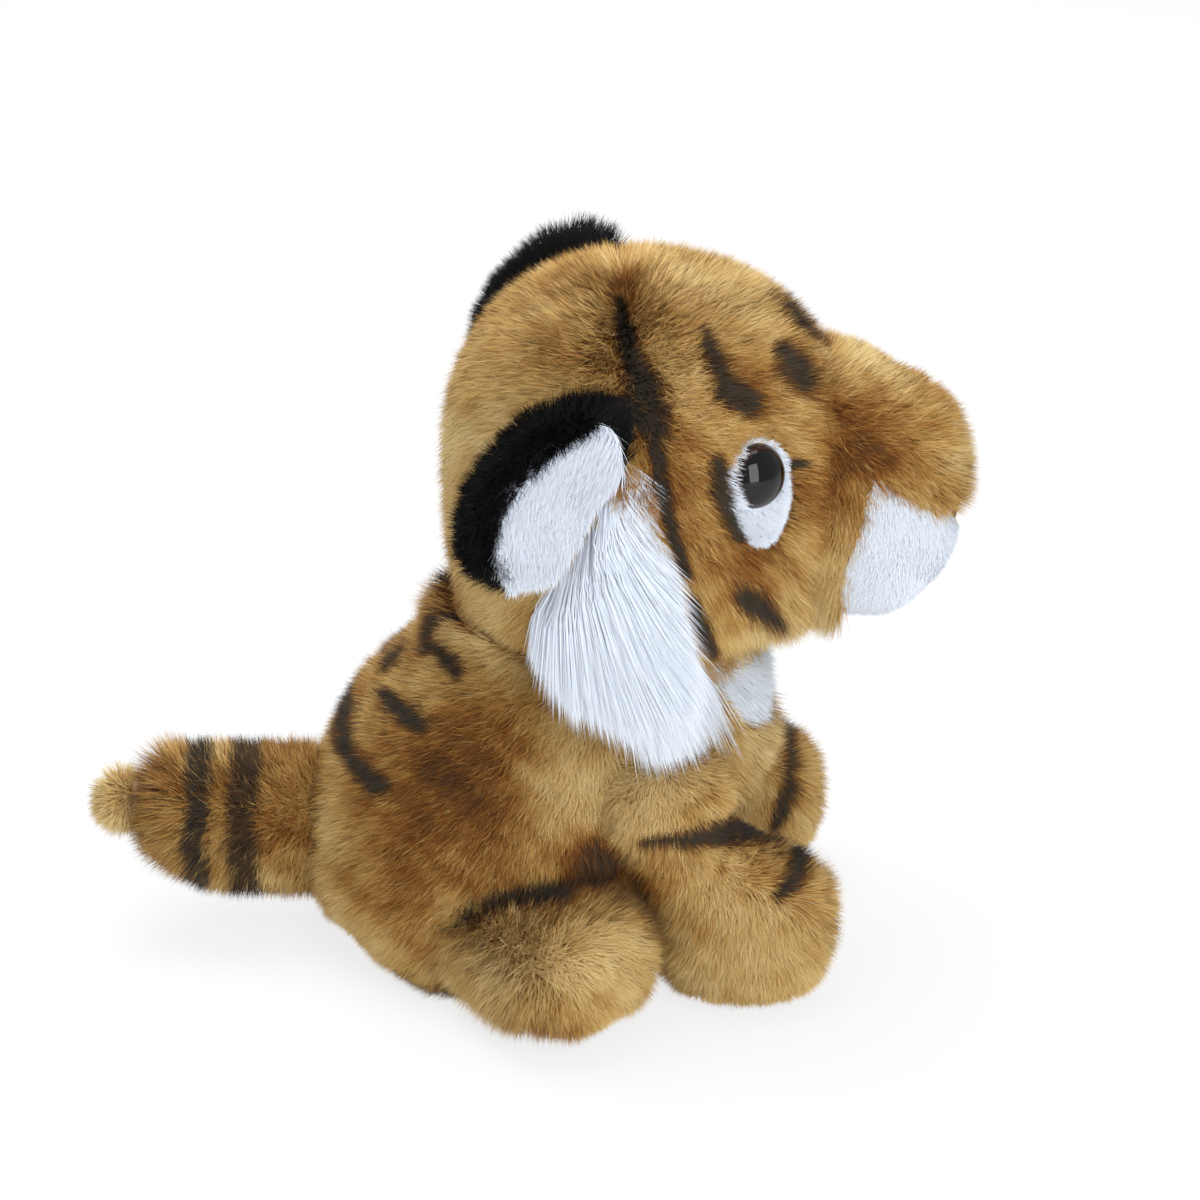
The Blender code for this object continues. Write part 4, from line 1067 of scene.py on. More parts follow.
def grow(name, surface, body, comb, length, keep, dye_and_shade, finish, slot, lean=(42, 42), density=1.0,
         bend=None, laid=None, pressed=0.45, wider=1.0, **how):
    """A piece of pile over a grid: roots that keep() accepts, combed, dyed with painted shading, and
    placed.
    """
    sizes = bpy.context.scene.tiger_sizes
    draw = np.random.default_rng([sizes.seed, *name.encode()])
    points, normals = surface
    roots, normals = scattered(points, normals, density * sizes.strands_per_mm2 * 1e6, draw)
    kept = keep(roots, normals)
    roots, normals = roots[kept], normals[kept]
    how.setdefault("clumps", (sizes.fine_clump, sizes.coarse_clump))
    run = length(roots) if callable(length) else length
    # The toy's weight presses the pile flat where it meets the floor
    run = run * (pressed + (1 - pressed) * smooth(roots[:, 2], 0.002, 0.013))
    if laid:
        how["laid"] = laid(roots)
    path = combed(roots, normals, comb(roots, normals), run,
                  [math.radians(a) for a in lean], draw, **how)
    shown = path[0] + 0.7 * (path[-1] - path[0])
    tone = dye_and_shade(shown, draw)
    softness = WHITE_SOFTNESS if slot.startswith("white") else SOFTNESS
    mesh = strand_mesh(name, path, normals, sizes.strand * wider, tone, draw, softness)
    print(f"{name}: {len(roots)} strands")
    return put(name, mesh, body, finish, bend=bend)


def even(dye_and_shade):
    """One dye for every point of a backing."""
    return lambda points: np.full(len(points), dye_and_shade)


def drawn(low, spread):
    """A dye for each strand, drawn evenly from low to low plus spread."""
    return lambda points, draw: low + spread * draw.random(len(points))


def steady(way):
    """A comb that goes one way everywhere."""
    return lambda points, normals: np.tile(way, (len(points), 1))


def near_side(side):
    """A test for roots on one side of the middle plane."""
    return lambda points: points[:, 1] * side >= 0


def tint(marks, shades):
    """The dye of strands that carry these marks and shades, with their painted light and shade."""
    return lambda points, draw: tan_dye_and_shading(points, marks, shades, draw)


class TIGER_OT_trunk(bpy.types.Operator):
    """The trunk's backing, its tan pile in two halves, and the white bib."""

    bl_idname = "tiger.trunk"
    bl_label = "Trunk"

    def execute(self, context):
        sizes = context.scene.tiger_sizes
        depth = sizes.backing_depth
        rings, _ = TRUNK.surface(depth, end=NECK + COLLAR)
        rings[..., 2] = np.maximum(rings[..., 2], depth * UNDERSIDE)
        put("trunk_backing", closed_surface("trunk_backing", rings,
            lambda p: tan_dye_and_shading(p, TRUNK_MARKS, TRUNK_DYE_AND_PAINTED_SHADING)), "trunk", tan_plush(),
            replaces=("trunk_skin",))

        def comb(points, normals):
            """Down and back, and outwards over the floor at the bottom."""
            back = 0.25 + 0.5 * smooth(-points[:, 0], -0.02, 0.04)
            way = np.column_stack([-back, 0 * back, -0.9 + 0 * back])
            splayed = 2.0 * smooth(0.014 - points[:, 2], 0, 0.010)[:, None]
            return way + splayed * unit(points * (1.0, 1.0, 0.0))

        def bare(points):
            """Which points the head, a leg or the tail covers."""
            hidden = SKULL.holds(points, HEAD_SINKS)
            for side, word in SIDES:
                hidden |= FORELEGS[side].holds(points, depth + 0.003)
                hidden |= HIND_LEGS[side].holds(points, depth)
            return hidden | TAIL.holds(points, depth)

        def chest(points):
            """Fuller on the breast, between the forelegs."""
            full = smooth(points[:, 0], 0.036, 0.046) * smooth(0.064 - points[:, 2], 0, 0.012)
            return 1 + 0.35 * full

        def hair(points):
            """Longer at the nape and beside the heels, and short under the rump."""
            x, y = photo_place(points).T
            nape = np.exp(-((x - 425) ** 2 + (y - 598) ** 2) / 32**2)
            heel = np.exp(-((x - 452) ** 2 + (y - 1005) ** 2) / 36**2)
            rump = smooth(400 - x, 0, 30) * smooth(y, 890, 920)
            return sizes.pile * chest(points) * (1 + 0.6 * nape + 1.0 * heel - 0.3 * rump)

        surface = TRUNK.surface(depth, start=0.0, end=NECK + COLLAR)
        for side, word in SIDES:
            def keep(points, normals):
                return near_side(side)(points) & ~bare(points) & ~in_bib(points)

            grow(f"trunk_pile_{word}", surface, "trunk", comb, hair, keep,
                 tint(TRUNK_MARKS, TRUNK_DYE_AND_PAINTED_SHADING), tan_plush(), "tan_plush",
                 laid=lambda p: 2.3 - 1.3 * chest(p), pressed=0.75)

        bib = grow("chest_bib_pile", surface, "trunk", steady((0.1, 0.0, -1.0)),
                   lambda p: sizes.bib_pile * chest(p),
                   lambda p, n: in_bib(p) & ~SKULL.holds(p, HEAD_SINKS),
                   drawn(0.12, 0.08), white_plush(), "white_plush",
                   lean=(55, 55))
        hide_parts("chest_bib")
        return {"FINISHED"}


def in_bib(points):
    """Which points lie on the white bib.

    It is the patch in front where the square of the width's share and the fourth power of
    the drop's share come to less than 1, which gives it a round lower edge.
    """
    drop = (TRUNK_HEIGHT - points[:, 2]) / BIB_DROP
    wide = np.abs(points[:, 1]) / BIB_ACROSS
    return (points[:, 0] > 0.02) & (wide**2 + np.maximum(drop, 0) ** 4 < 1)


class TIGER_OT_head(bpy.types.Operator):
    """The skull's and muzzle's backing, and the tan pile on them."""

    bl_idname = "tiger.head"
    bl_label = "Head"

    def execute(self, context):
        sizes = context.scene.tiger_sizes
        depth = sizes.backing_depth
        rings, _ = SKULL.surface(depth + 0.0004, start=NECK - COLLAR)
        put("head_backing", closed_surface("head_backing", rings,
            lambda p: tan_dye_and_shading(p, HEAD_MARKS, HEAD_DYE_AND_PAINTED_SHADING)), "head", tan_plush(),
            replaces=("head_skin",))

        def comb(points, normals):
            """Back and down behind, forward in front, straight down on the cheeks."""
            ahead = smooth(points[:, 0], -0.005, 0.04)
            reach = -0.85 * (1 - ahead) + 0.55 * ahead
            below = smooth(0.118 - points[:, 2], 0.0, 0.02) * ahead
            reach = reach * (1 - below) + 0.12 * below
            way = np.column_stack([reach, 0 * reach, -0.75 + 0 * reach])
            # Away from an eye in front of it and below, and over it from behind and above
            for side, word in SIDES:
                off = points - (np.array(EYE_PLACES[side].translation) + (0.0, 0.0, -0.003))
                near = np.exp(-(off**2).sum(axis=1) / 0.017**2)[:, None]
                over = np.maximum(smooth(-off[:, 0], 0, 0.005), smooth(off[:, 2], 0.004, 0.009))
                around = unit(off) * (1 - over[:, None]) + np.outer(over, (0.9, 0.0, -0.4))
                way = way * (1 - near) + around * near
            return way

        def laid(points):
            """More upright at a patch's edge and at the cheek, and laid flatter behind."""
            gap = np.full(len(points), np.inf)
            for side, word in SIDES:
                gap = np.minimum(gap, patch_gap(points, side))
            back = smooth(-points[:, 0], -0.012, 0.012)
            return ((0.3 + 0.7 * smooth(gap, 0.0, 0.006)) * (1 + 0.6 * back)
                    * (1 - 0.5 * cheek(points)))

        def cheek(points):
            """Which points lie at the cheek's lower edge, where the pile hangs in a fringe."""
            x, y = photo_place(points).T
            return smooth(y, 555, 600) * smooth(x, 740, 785) * smooth(870 - x, 0, 30)

        def hair(points):
            """Longer at the cheek's fringe, shorter round the eyes and a little on the crown."""
            gap = np.minimum(patch_gap(points, -1), patch_gap(points, 1))
            eye = 1 - 0.4 * (1 - smooth(gap, 0.0, 0.005))
            crown = 1 - 0.04 * smooth(points[:, 2], 0.134, 0.152)
            return sizes.pile * (1 + 0.8 * cheek(points)) * eye * crown

        surface = SKULL.surface(depth, start=NECK - COLLAR)
        for side, word in SIDES:
            def keep(points, normals):
                bare = MUZZLE.holds(points, depth) | ~near_side(side)(points)
                patch = patch_gap(points, side) < 0
                return ~(bare | in_ruff(points) | patch)

            grow(f"head_pile_{word}", surface, "head", comb, hair, keep,
                 tint(HEAD_MARKS, HEAD_DYE_AND_PAINTED_SHADING), tan_plush(), "tan_plush", laid=laid, density=0.9)

        def muzzle_comb(points, normals):
            """Down and forward on the bridge, and down and back on the sides behind."""
            aside = smooth(0.122 - points[:, 2], -0.006, 0.012) * smooth(0.086 - points[:, 0], 0, 0.02)
            reach = 0.8 * (1 - aside) - 0.3 * aside
            return np.column_stack([reach, 0 * reach, -0.8 + 0 * reach])

        def pile_length(points):
            """Short on top, as long as the head's behind, and longest over the nose."""
            behind = smooth(0.062 - points[:, 0], 0.0, 0.012)
            front = smooth(points[:, 0], 0.084, 0.092) * smooth(0.130 - points[:, 2], 0, 0.010)
            top = smooth(points[:, 2], 0.126, 0.134) * smooth(points[:, 0], 0.070, 0.080)
            run = sizes.bridge_pile + (sizes.pile - sizes.bridge_pile) * behind + 0.003 * front
            return run * (1 + 1.0 * cheek(points)) * (1 - 0.4 * top)

        surface = MUZZLE.surface(depth)

        def kept(points, normals):
            return ~(in_white(points) | SKULL.holds(points, depth))

        grow("bridge_pile", surface, "head", muzzle_comb, pile_length, kept,
             tint(HEAD_MARKS, HEAD_DYE_AND_PAINTED_SHADING), tan_plush(), "tan_plush", lean=(42, 42),
             laid=lambda p: (1 - 0.45 * smooth(p[:, 0], 0.084, 0.093)) * (1 - 0.7 * cheek(p)))
        return {"FINISHED"}


def in_white(points):
    """Which points lie on the muzzle's white panel: its front is white below the nose."""
    front = (points[:, 0] > MUZZLE_START + 0.8 * MUZZLE_LENGTH) & (np.abs(points[:, 1]) < 0.018)
    return np.where(front, points[:, 2] < NOSE_TOP - NOSE_HEIGHT,
                    inside_outline(photo_place(points), MUZZLE_WHITE))


def in_ruff(points):
    """Which points lie where a cheek ruff is rooted."""
    return inside_outline(photo_place(points), RUFF_ROOTS) & (np.abs(points[:, 1]) > 0.02)


def patch_place(points, side):
    """Points in the frame of one eye."""
    place = EYE_PLACES[side]
    return (points - np.array(place.translation)) @ np.array(place.to_3x3())


def patch_gap(points, side):
    """How far points lie outside the bare part of an eye patch.

    It is the lesser of the distance from the eye's rim and that from an oval which leans
    back at its top and reaches well below the eye.  The oval is a superellipse, and the
    distance from it is the place's own, times its share past the oval.
    """
    local = patch_place(points, side)
    back, rise = local[:, 0] * side, local[:, 1]
    behind, above = back - OVAL_MIDDLE[0], rise - OVAL_MIDDLE[1]
    across = behind * math.cos(OVAL_LEAN) - above * math.sin(OVAL_LEAN)
    along = behind * math.sin(OVAL_LEAN) + above * math.cos(OVAL_LEAN)
    share = (np.abs(across / OVAL_HALVES[0]) ** OVAL_SQUARENESS
             + np.abs(along / OVAL_HALVES[1]) ** OVAL_SQUARENESS) ** (1 / OVAL_SQUARENESS)
    oval = (share - 1) * np.hypot(across, along) / np.maximum(share, 0.01)
    ring = np.hypot(back, rise) - EYE_ACROSS / 2
    return np.where(np.abs(local[:, 2]) < 0.012, np.minimum(oval, ring), np.inf)


class TIGER_OT_muzzle(bpy.types.Operator):
    """The muzzle's backing, its short white pile, the nose and the stitched mouth."""

    bl_idname = "tiger.muzzle"
    bl_label = "Muzzle and nose"

    def execute(self, context):
        sizes = context.scene.tiger_sizes
        outer, normals = MUZZLE.surface(0.0)
        flat = outer.reshape(-1, 3)
        white = inside_outline(photo_place(flat), MUZZLE_WHITE).reshape(outer.shape[:2])
        depth = np.where(white, sizes.short_pile * MUZZLE_INSET, sizes.backing_depth)
        for _ in range(3):
            depth = (depth + np.roll(depth, 1, 1) + np.roll(depth, -1, 1)) / 3
            depth[1:-1] = (depth[:-2] + depth[1:-1] + depth[2:]) / 3
        rings = outer - (depth + corner_cut(outer))[..., None] * normals
        put("muzzle_backing", closed_surface("muzzle_backing", rings, even(0.1)), "head",
            white_plush(), replaces=("muzzle_panel",))

        def kept(points, normals):
            """All but a groove along the mouth's line of thread."""
            groove = (np.abs(points[:, 1]) < THREAD_ACROSS * 0.6) & (points[:, 0] > 0.078)
            groove &= points[:, 2] > NOSE_TOP - NOSE_HEIGHT - MOUTH_DROP
            return in_white(points) & ~SKULL.holds(points, 0.004) & ~groove

        grow("muzzle_white_pile", (rings, normals), "head", steady((-0.25, 0.0, -1.0)),
             sizes.short_pile, kept,
             drawn(0.04, 0.06), white_plush(), "white_plush",
             lean=(50, 50), stray=0.2, loose=0.1, wider=1.15, clumps=(sizes.fine_clump,),
             pull=(0.1,))

        # The nose is a pad of velvet: a triangle with round corners that domes forward
        share = np.linspace(0, 1, 9)[:, None]
        angle = np.linspace(0, 2 * math.pi, 48, endpoint=False)[None, :]
        bow = share * math.pi / 2
        round_off = 1 + 0.16 * np.cos(3 * (angle - math.pi / 2) + math.pi)
        y = NOSE_WIDTH / 2 * np.sin(bow) * round_off * np.cos(angle) * 0.95
        z = NOSE_TOP - NOSE_HEIGHT * 0.46 + NOSE_HEIGHT / 2 * np.sin(bow) * round_off * np.sin(angle)
        front = MUZZLE_START + MUZZLE_LENGTH - 0.0008
        x = front + NOSE_THICKNESS * np.cos(bow) ** 0.7 - 6.0 * y**2
        dome = np.stack(np.broadcast_arrays(x, y, z), axis=2)
        foot = dome[-1:] - (0.004, 0.0, 0.0)
        put("nose_pad", closed_surface("nose_pad", np.concatenate([dome, foot])), "head",
            velvet(), replaces=("nose",))

        # The mouth is one line of thread down from the nose that parts to both sides
        drop = NOSE_TOP - NOSE_HEIGHT
        lines = [("mouth_stitch", ((0, 0.001), (0, -0.006), (0, -0.013)))]
        for side, word in SIDES:
            lines.append((f"mouth_stitch_{word}", ((0, -MOUTH_DROP), (side * 0.005, -0.0165),
                                                   (side * 0.011, -0.0145))))
        for name, bends in lines:
            # A quadratic curve: the start, the pull and the end, each by its share
            start, pull, end = (np.array(place) for place in bends)
            path = []
            for share in np.linspace(0, 1, 21):
                across, rise = ((1 - share) ** 2 * start + 2 * share * (1 - share) * pull
                                + share**2 * end)
                path.append((muzzle_front(across, drop + rise), across, drop + rise))
            put(name, thread(name, np.array(path), THREAD_ACROSS / 2), "head",
                stitch_thread())
        return {"FINISHED"}


def corner_cut(points):
    """How much rounder the muzzle's lower front corner is than the panel's own."""
    return 0.0035 * smooth(points[..., 0], 0.078, 0.093) * smooth(0.106 - points[..., 2], 0, 0.020)


def muzzle_front(across, level):
    """How far forward the muzzle reaches at a place, just under its short pile's tips."""
    points = MUZZLE.surface(0.0)[0].reshape(-1, 3)
    ahead = points[points[:, 0] > MUZZLE_START + 0.6 * MUZZLE_LENGTH]
    gap = (ahead[:, 1] - across) ** 2 + (ahead[:, 2] - level) ** 2
    near = np.argsort(gap)[:6]
    weight = 1 / (gap[near] + 1e-9)
    reach = (ahead[near, 0] - corner_cut(ahead[near])) * weight
    return reach.sum() / weight.sum() - 0.0006


def thread(name, path, radius):
    """A thread along a path: circles square to it, twisted like a two-ply yarn."""
    way = unit(np.gradient(path, axis=0))
    side = unit(np.cross(way, (1.0, 0.0, 0.0)))
    up = np.cross(side, way)
    angle = np.linspace(0, 2 * math.pi, 10, endpoint=False)[None, :, None]
    twist = np.linspace(0, 8 * math.pi, len(path))[:, None, None]
    swell = radius * (1 + 0.18 * np.cos(2 * (angle + twist)))
    rings = path[:, None] + swell * (side[:, None] * np.cos(angle) + up[:, None] * np.sin(angle))
    return closed_surface(name, rings)


def velvet():
    """Cotton velvet: short dense fibres that look pale at their edges and deep face on."""
    made, tree, shader = new_material("cotton velvet, brown", roughness=0.85, sheen_weight=0.7,
                                      sheen_roughness=0.35, specular_ior_level=0.2)
    where = add(tree, "ShaderNodeTexCoord", (-1000, 0))
    # Fibre tufts 0.15 mm apart, drawn at 0.4 mm so that they show
    tufts = add(tree, "ShaderNodeTexVoronoi", (-800, 0), None,
                {"Vector": where.outputs["Object"], "Scale": 2500.0})
    brushed = add(tree, "ShaderNodeTexNoise", (-800, -300), None,
                  {"Vector": where.outputs["Object"], "Scale": 350.0, "Detail": 4.0})
    pale = bpy.context.scene.tiger_colours.nose
    tint_ = ramp(tree, (-550, 0), [(0.35, tuple(v * 0.6 for v in pale)), (0.65, tuple(pale))],
                 brushed.outputs["Fac"])
    bump = add(tree, "ShaderNodeBump", (-300, -200), None,
               {"Height": tufts.outputs["Distance"], "Strength": 0.5, "Distance": 0.0003})
    tree.links.new(tint_, shader.inputs["Base Color"])
    tree.links.new(bump.outputs["Normal"], shader.inputs["Normal"])
    return made


def stitch_thread():
    """Embroidery thread, dark brown: a soft gloss along its twist."""
    found = bpy.data.materials.get("embroidery thread, dark brown")
    if found:
        return found
    made, tree, shader = new_material("embroidery thread, dark brown", roughness=0.5,
                                      sheen_weight=0.2)
    where = add(tree, "ShaderNodeTexCoord", (-1000, 0))
    # Fibres 0.02 mm thick, drawn at 0.2 mm so that they show
    fibres = add(tree, "ShaderNodeTexNoise", (-800, 0), None,
                 {"Vector": where.outputs["Object"], "Scale": 5000.0, "Detail": 3.0})
    dark = bpy.context.scene.tiger_colours.stitch
    tint_ = ramp(tree, (-550, 0), [(0.35, tuple(v * 0.5 for v in dark)), (0.65, tuple(dark))],
                 fibres.outputs["Fac"])
    tree.links.new(tint_, shader.inputs["Base Color"])
    return made


class TIGER_OT_eyes(bpy.types.Operator):
    """The domed eyes, and the felt patches that they sit in."""

    bl_idname = "tiger.eyes"
    bl_label = "Eyes"

    def execute(self, context):
        sizes = context.scene.tiger_sizes
        surface, normals = SKULL.surface(0.0, steps=24, around=360)
        for side, word in SIDES:
            place = EYE_PLACES[side]
            turn, middle = np.array(place.to_3x3()), np.array(place.translation)
            share = np.linspace(0, 1, 25)[:, None]
            angle = np.linspace(0, 2 * math.pi, 64, endpoint=False)[None, :]
            bow = share * math.pi / 2
            radius = EYE_ACROSS / 2 * np.sin(bow)
            height = EYE_DOME * np.cos(bow) - EYE_DEPTH
            dome = np.stack(np.broadcast_arrays(radius * np.cos(angle), radius * np.sin(angle),
                                                height), axis=2)
            foot = dome[-1:].copy()
            foot[..., 2] = -EYE_DEPTH - 0.0006
            local = np.concatenate([dome, foot])
            mesh = closed_surface(f"eye_{word}_dome", local @ turn.T + middle,
                                  lambda p: np.hypot(*patch_place(p, side)[:, :2].T)
                                  / (EYE_ACROSS / 2))
            put(f"eye_{word}_dome", mesh, "head", eye_plastic(),
                replaces=(f"eye_{word}",))

            # The skull near the eye, as a cubic in the patch's own two directions
            samples = patch_place(surface.reshape(-1, 3), side)
            close = (np.abs(samples[:, :2]).max(axis=1) < 0.022) & (np.abs(samples[:, 2]) < 0.015)
            samples = samples[close]

            def terms(x, y):
                return np.stack([x**i * y**j for i in range(4) for j in range(4 - i)], axis=-1)

            fit = np.linalg.lstsq(terms(samples[:, 0] * 100, samples[:, 1] * 100), samples[:, 2],
                                  rcond=None)[0]
            share = np.linspace(0.02, 1, 16)[:, None]
            x = share * PATCH_WIDTH / 2 * np.cos(angle)
            high = np.where(np.sin(angle) > 0, PATCH_RISE, PATCH_DROP)
            y = share * high * np.sin(angle)
            level = terms(x * 100, y * 100) @ fit
            dip = FELT_DIP + FELT_RIM_DIP * smooth(share, 0.8, 1.0)
            top = np.stack(np.broadcast_arrays(x, y, level - dip), axis=2)
            low = top[::-1].copy()
            low[..., 2] -= FELT_THICKNESS
            shell = np.concatenate([top, low]) @ turn.T + middle
            put(f"eye_patch_{word}_felt", closed_surface(f"eye_patch_{word}_felt", shell,
                even(0.08)), "head", white_plush(),
                replaces=(f"eye_patch_{word}",))
            top = top @ turn.T + middle
            face = np.broadcast_to(turn[:, 2], top.shape)

            def behind(points):
                """How far points lie behind the eye, where the pile closes over its edge."""
                local = patch_place(points, side)
                return smooth(local[:, 0] * side, 0.001, 0.006) * smooth(local[:, 1], -0.009, -0.002)

            def comb(points, normals):
                """Out from the eye and down, but in over the eye's edge from behind it."""
                out = unit(patch_place(points, side) * (1.0, 1.0, 0.0)) @ turn.T
                over = behind(points)[:, None]
                return out * (0.8 - 1.9 * over) + (1 - over) * np.array((0.0, 0.0, -0.6))

            def keep(points, normals):
                """The ring of felt outside the eye and inside the tan pile."""
                round_eye = np.hypot(*patch_place(points, side)[:, :2].T) > EYE_ACROSS / 2 - 0.0001
                return round_eye & (patch_gap(points, side) < FELT_OVERLAP)

            grow(f"eye_patch_{word}_pile", (top, face), "head", comb,
                 lambda p: sizes.felt_pile * (1 + 0.55 * behind(p)), keep,
                 drawn(0.04, 0.08), white_plush(), "white_felt",
                 lean=(42, 42), density=1.6, clumps=(sizes.fine_clump,), pull=(0.2,))
        return {"FINISHED"}


def eye_plastic():
    """Clear moulded plastic over a painted iris: a large pupil, a brown ring, a dark rim.

    Its polish gives the eye a sharp small picture of the lamps over a deep dark.
    """
    found = bpy.data.materials.get("clear moulded plastic, brown iris")
    if found:
        return found
    c = bpy.context.scene.tiger_colours
    made, tree, shader = new_material("clear moulded plastic, brown iris", roughness=0.03,
                                      specular_ior_level=0.35)
    ring = add(tree, "ShaderNodeAttribute", (-900, 0), {"attribute_name": "tone"})
    tint_ = ramp(tree, (-600, 0), [(0.0, c.pupil), (0.76, c.pupil), (0.82, colour("1E0F08")),
                                   (0.89, c.iris), (0.96, colour("0E0704"))],
                 ring.outputs["Fac"])
    tree.links.new(tint_, shader.inputs["Base Color"])
    return made


class TIGER_OT_ears(bpy.types.Operator):
    """The ears: a black back with its pile, and a thick white lining."""

    bl_idname = "tiger.ears"
    bl_label = "Ears"

    def execute(self, context):
        sizes = context.scene.tiger_sizes
        for side, word in SIDES:
            along, up, lining = (np.array(v) for v in ear_directions(side))
            inset = sizes.ear_pile * 0.75
            back = ear_form(side, 0.0, inset, EAR_BACK_THICKNESS / 2,
                            -EAR_BACK_THICKNESS + 0.8 * sizes.ear_pile, 0.0,
                            1.25 * sizes.ear_pile)
            rings, normals = back.surface(steps=8, around=96)
            put(f"ear_{word}_back", closed_surface(f"ear_{word}_back", rings,
                even(0.0)), f"ear_{word}", black_plush(),
                replaces=(f"ear_back_{word}",))

            def white(points, normals):
                """Which points lie on the front, inside the lining's outline."""
                return inside_outline(photo_place(points), EAR_WHITE) & (normals @ lining > 0.2)

            root = np.array((EAR_ROOT_REACH, side * EAR_ROOT_APART / 2, NECK + EAR_ROOT_RISE))

            def upper(points):
                """How far points lie towards the ear's upper edge."""
                return smooth((points - root) @ -along, 0.004, 0.022)

            def comb(points, normals):
                """Up the ear, and past its upper edge near that edge."""
                share = upper(points)[:, None]
                return up * (0.6 - 0.3 * share) - along * 0.7 * share + (0.0, 0.0, -0.1)

            grow(f"ear_{word}_pile", (rings, normals), f"ear_{word}", comb,
                 lambda p: sizes.ear_pile * (1 + 0.38 * upper(p)), lambda p, n: ~white(p, n),
                 lambda p, d: d.random(len(p)) ** 3, black_plush(), "black_plush", lean=(42, 42),
                 density=1.6)

            start = EAR_ROOT_ACROSS / 2 + GAP
            front = ear_form(side, start, EAR_RIM + 0.002, EAR_LINING_THICKNESS - 0.0015, GAP,
                             EAR_LINING_THICKNESS - 0.0015, sizes.ear_pile)
            lining_rings, _ = front.surface(steps=8, around=96)
            put(f"ear_{word}_lining", closed_surface(f"ear_{word}_lining", lining_rings,
                even(0.05)), f"ear_{word}", white_plush(),
                replaces=(f"ear_lining_{word}",))

            grow(f"ear_{word}_lining_pile", (rings, normals), f"ear_{word}",
                 steady(up * 0.5 + (0.0, 0.0, -0.8)),
                 EAR_LINING_THICKNESS * 1.6, white, drawn(0.03, 0.05),
                 white_plush(), "white_plush", lean=(52, 52), density=2.0, stray=0.2, loose=0.1,
                 wider=1.1, clumps=(sizes.fine_clump,), pull=(0.1,))
        return {"FINISHED"}


class TIGER_OT_ruffs(bpy.types.Operator):
    """The long white ruffs behind the cheeks."""

    bl_idname = "tiger.ruffs"
    bl_label = "Cheek ruffs"

    def execute(self, context):
        sizes = context.scene.tiger_sizes
        surface = SKULL.surface(sizes.backing_depth)
        for side, word in SIDES:
            def comb(points, normals):
                """Down and aside, with a slant forward that grows to the front and the top."""
                x, y = photo_place(points).T
                slant = -0.04 + 0.22 * smooth(x, 550, 620) + 0.22 * smooth(x, 640, 700)
                slant = slant + 0.8 * smooth(640 - y, 0, 110) * smooth(x, 565, 635)
                return np.column_stack([slant, 0 * slant + side * 0.08, -1.0 + 0 * slant])

            def keep(points, normals):
                return near_side(side)(points) & in_ruff(points)

            def length(points):
                """As far as the locks' lower edge, and less beside the front edge."""
                x, y = photo_place(points).T
                end = np.interp(x, RUFF_TIPS_ACROSS, RUFF_TIPS_DOWN)
                run = np.clip((end - y) / RUFF_PIXELS_PER_METRE * 1.2, RUFF_SHORTEST,
                              sizes.ruff_pile)
                edge = np.interp(y, RUFF_EDGE_DOWN, RUFF_EDGE_ACROSS)
                beside = smooth(x - edge, -50, -8) * smooth(650 - y, 0, 50)
                run = run * (1 + 0.10 * ripple(points, 0.006, 31))
                return run * (1 - beside) + RUFF_EDGE_PILE * beside

            ruff = grow(f"cheek_ruff_{word}_pile", surface, "head", comb, length, keep,
                        drawn(0.02, 0.08), white_plush(),
                        "white_plush", lean=(44, 86), density=3.3, segments=2, hang=0.9,
                        stray=0.15, pull=(0.08, 0.26), loose=0.06)
            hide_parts(f"cheek_ruff_{word}")
        return {"FINISHED"}


class TIGER_OT_forelegs(bpy.types.Operator):
    """The forelegs' backing and pile, with their places baked into their meshes."""

    bl_idname = "tiger.forelegs"
    bl_label = "Forelegs"

    def execute(self, context):
        sizes = context.scene.tiger_sizes
        depth = sizes.backing_depth
        for side, word in SIDES:
            body = f"foreleg_{word}"
            middle = shoulder(side)
            up = Vector((0.0, 0.0, 1.0))
            bend = (middle + up * SHOULDER_BEND[0], middle - up * SHOULDER_BEND[1])
            rings, normals = FORELEGS[side].surface(depth)
            # The backing rises over the ball of stuffing at the shoulder
            high = smooth(rings[..., 2], 0.044, 0.052)
            rings = rings + (depth - 0.0012) * high[..., None] * normals
            surface = rings, normals
            rings = rings.copy()
            rings[..., 2] = np.maximum(rings[..., 2], depth * UNDERSIDE)
            put(f"{body}_backing", closed_surface(f"{body}_backing", rings,
                lambda p: tan_dye_and_shading(p, FORELEG_MARKS, LEG_DYE_AND_PAINTED_SHADING)), body,
                tan_plush(), replaces=(f"{body}_skin",), bend=bend)

            def comb(points, normals):
                """Down the leg, and forward on top of the paw."""
                paw = smooth(0.022 - points[:, 2], 0.0, 0.02)
                top = smooth(normals[:, 2], 0.2, 0.8) * smooth(0.040 - points[:, 2], 0, 0.01)
                reach = 0.12 + 0.25 * paw + 0.9 * top
                return np.column_stack([reach, 0 * reach, -1.0 + top])

            def laid(points):
                """Flat at the shoulder, where the trunk's pile runs on over the leg."""
                return 1 + 0.4 * smooth(points[:, 2], 0.042, 0.052)

            def brushed(points):
                """Short in front of the shoulder, where the chest presses it, and on the toes."""
                chest = smooth(points[:, 2], 0.027, 0.036) * smooth(points[:, 0], 0.034, 0.044)
                toes = smooth(points[:, 0], 0.058, 0.066) * smooth(0.018 - points[:, 2], 0, 0.008)
                high = smooth(points[:, 2], 0.044, 0.054)
                return sizes.pile * (1 - 0.6 * chest * (1 - high) - 0.3 * high - 0.25 * toes)

            grow(f"{body}_pile", surface, body, comb, brushed,
                 lambda p, n: ~TRUNK.holds(p, depth), tint(FORELEG_MARKS, LEG_DYE_AND_PAINTED_SHADING),
                 tan_plush(), "tan_plush", bend=bend, laid=laid)
        return {"FINISHED"}


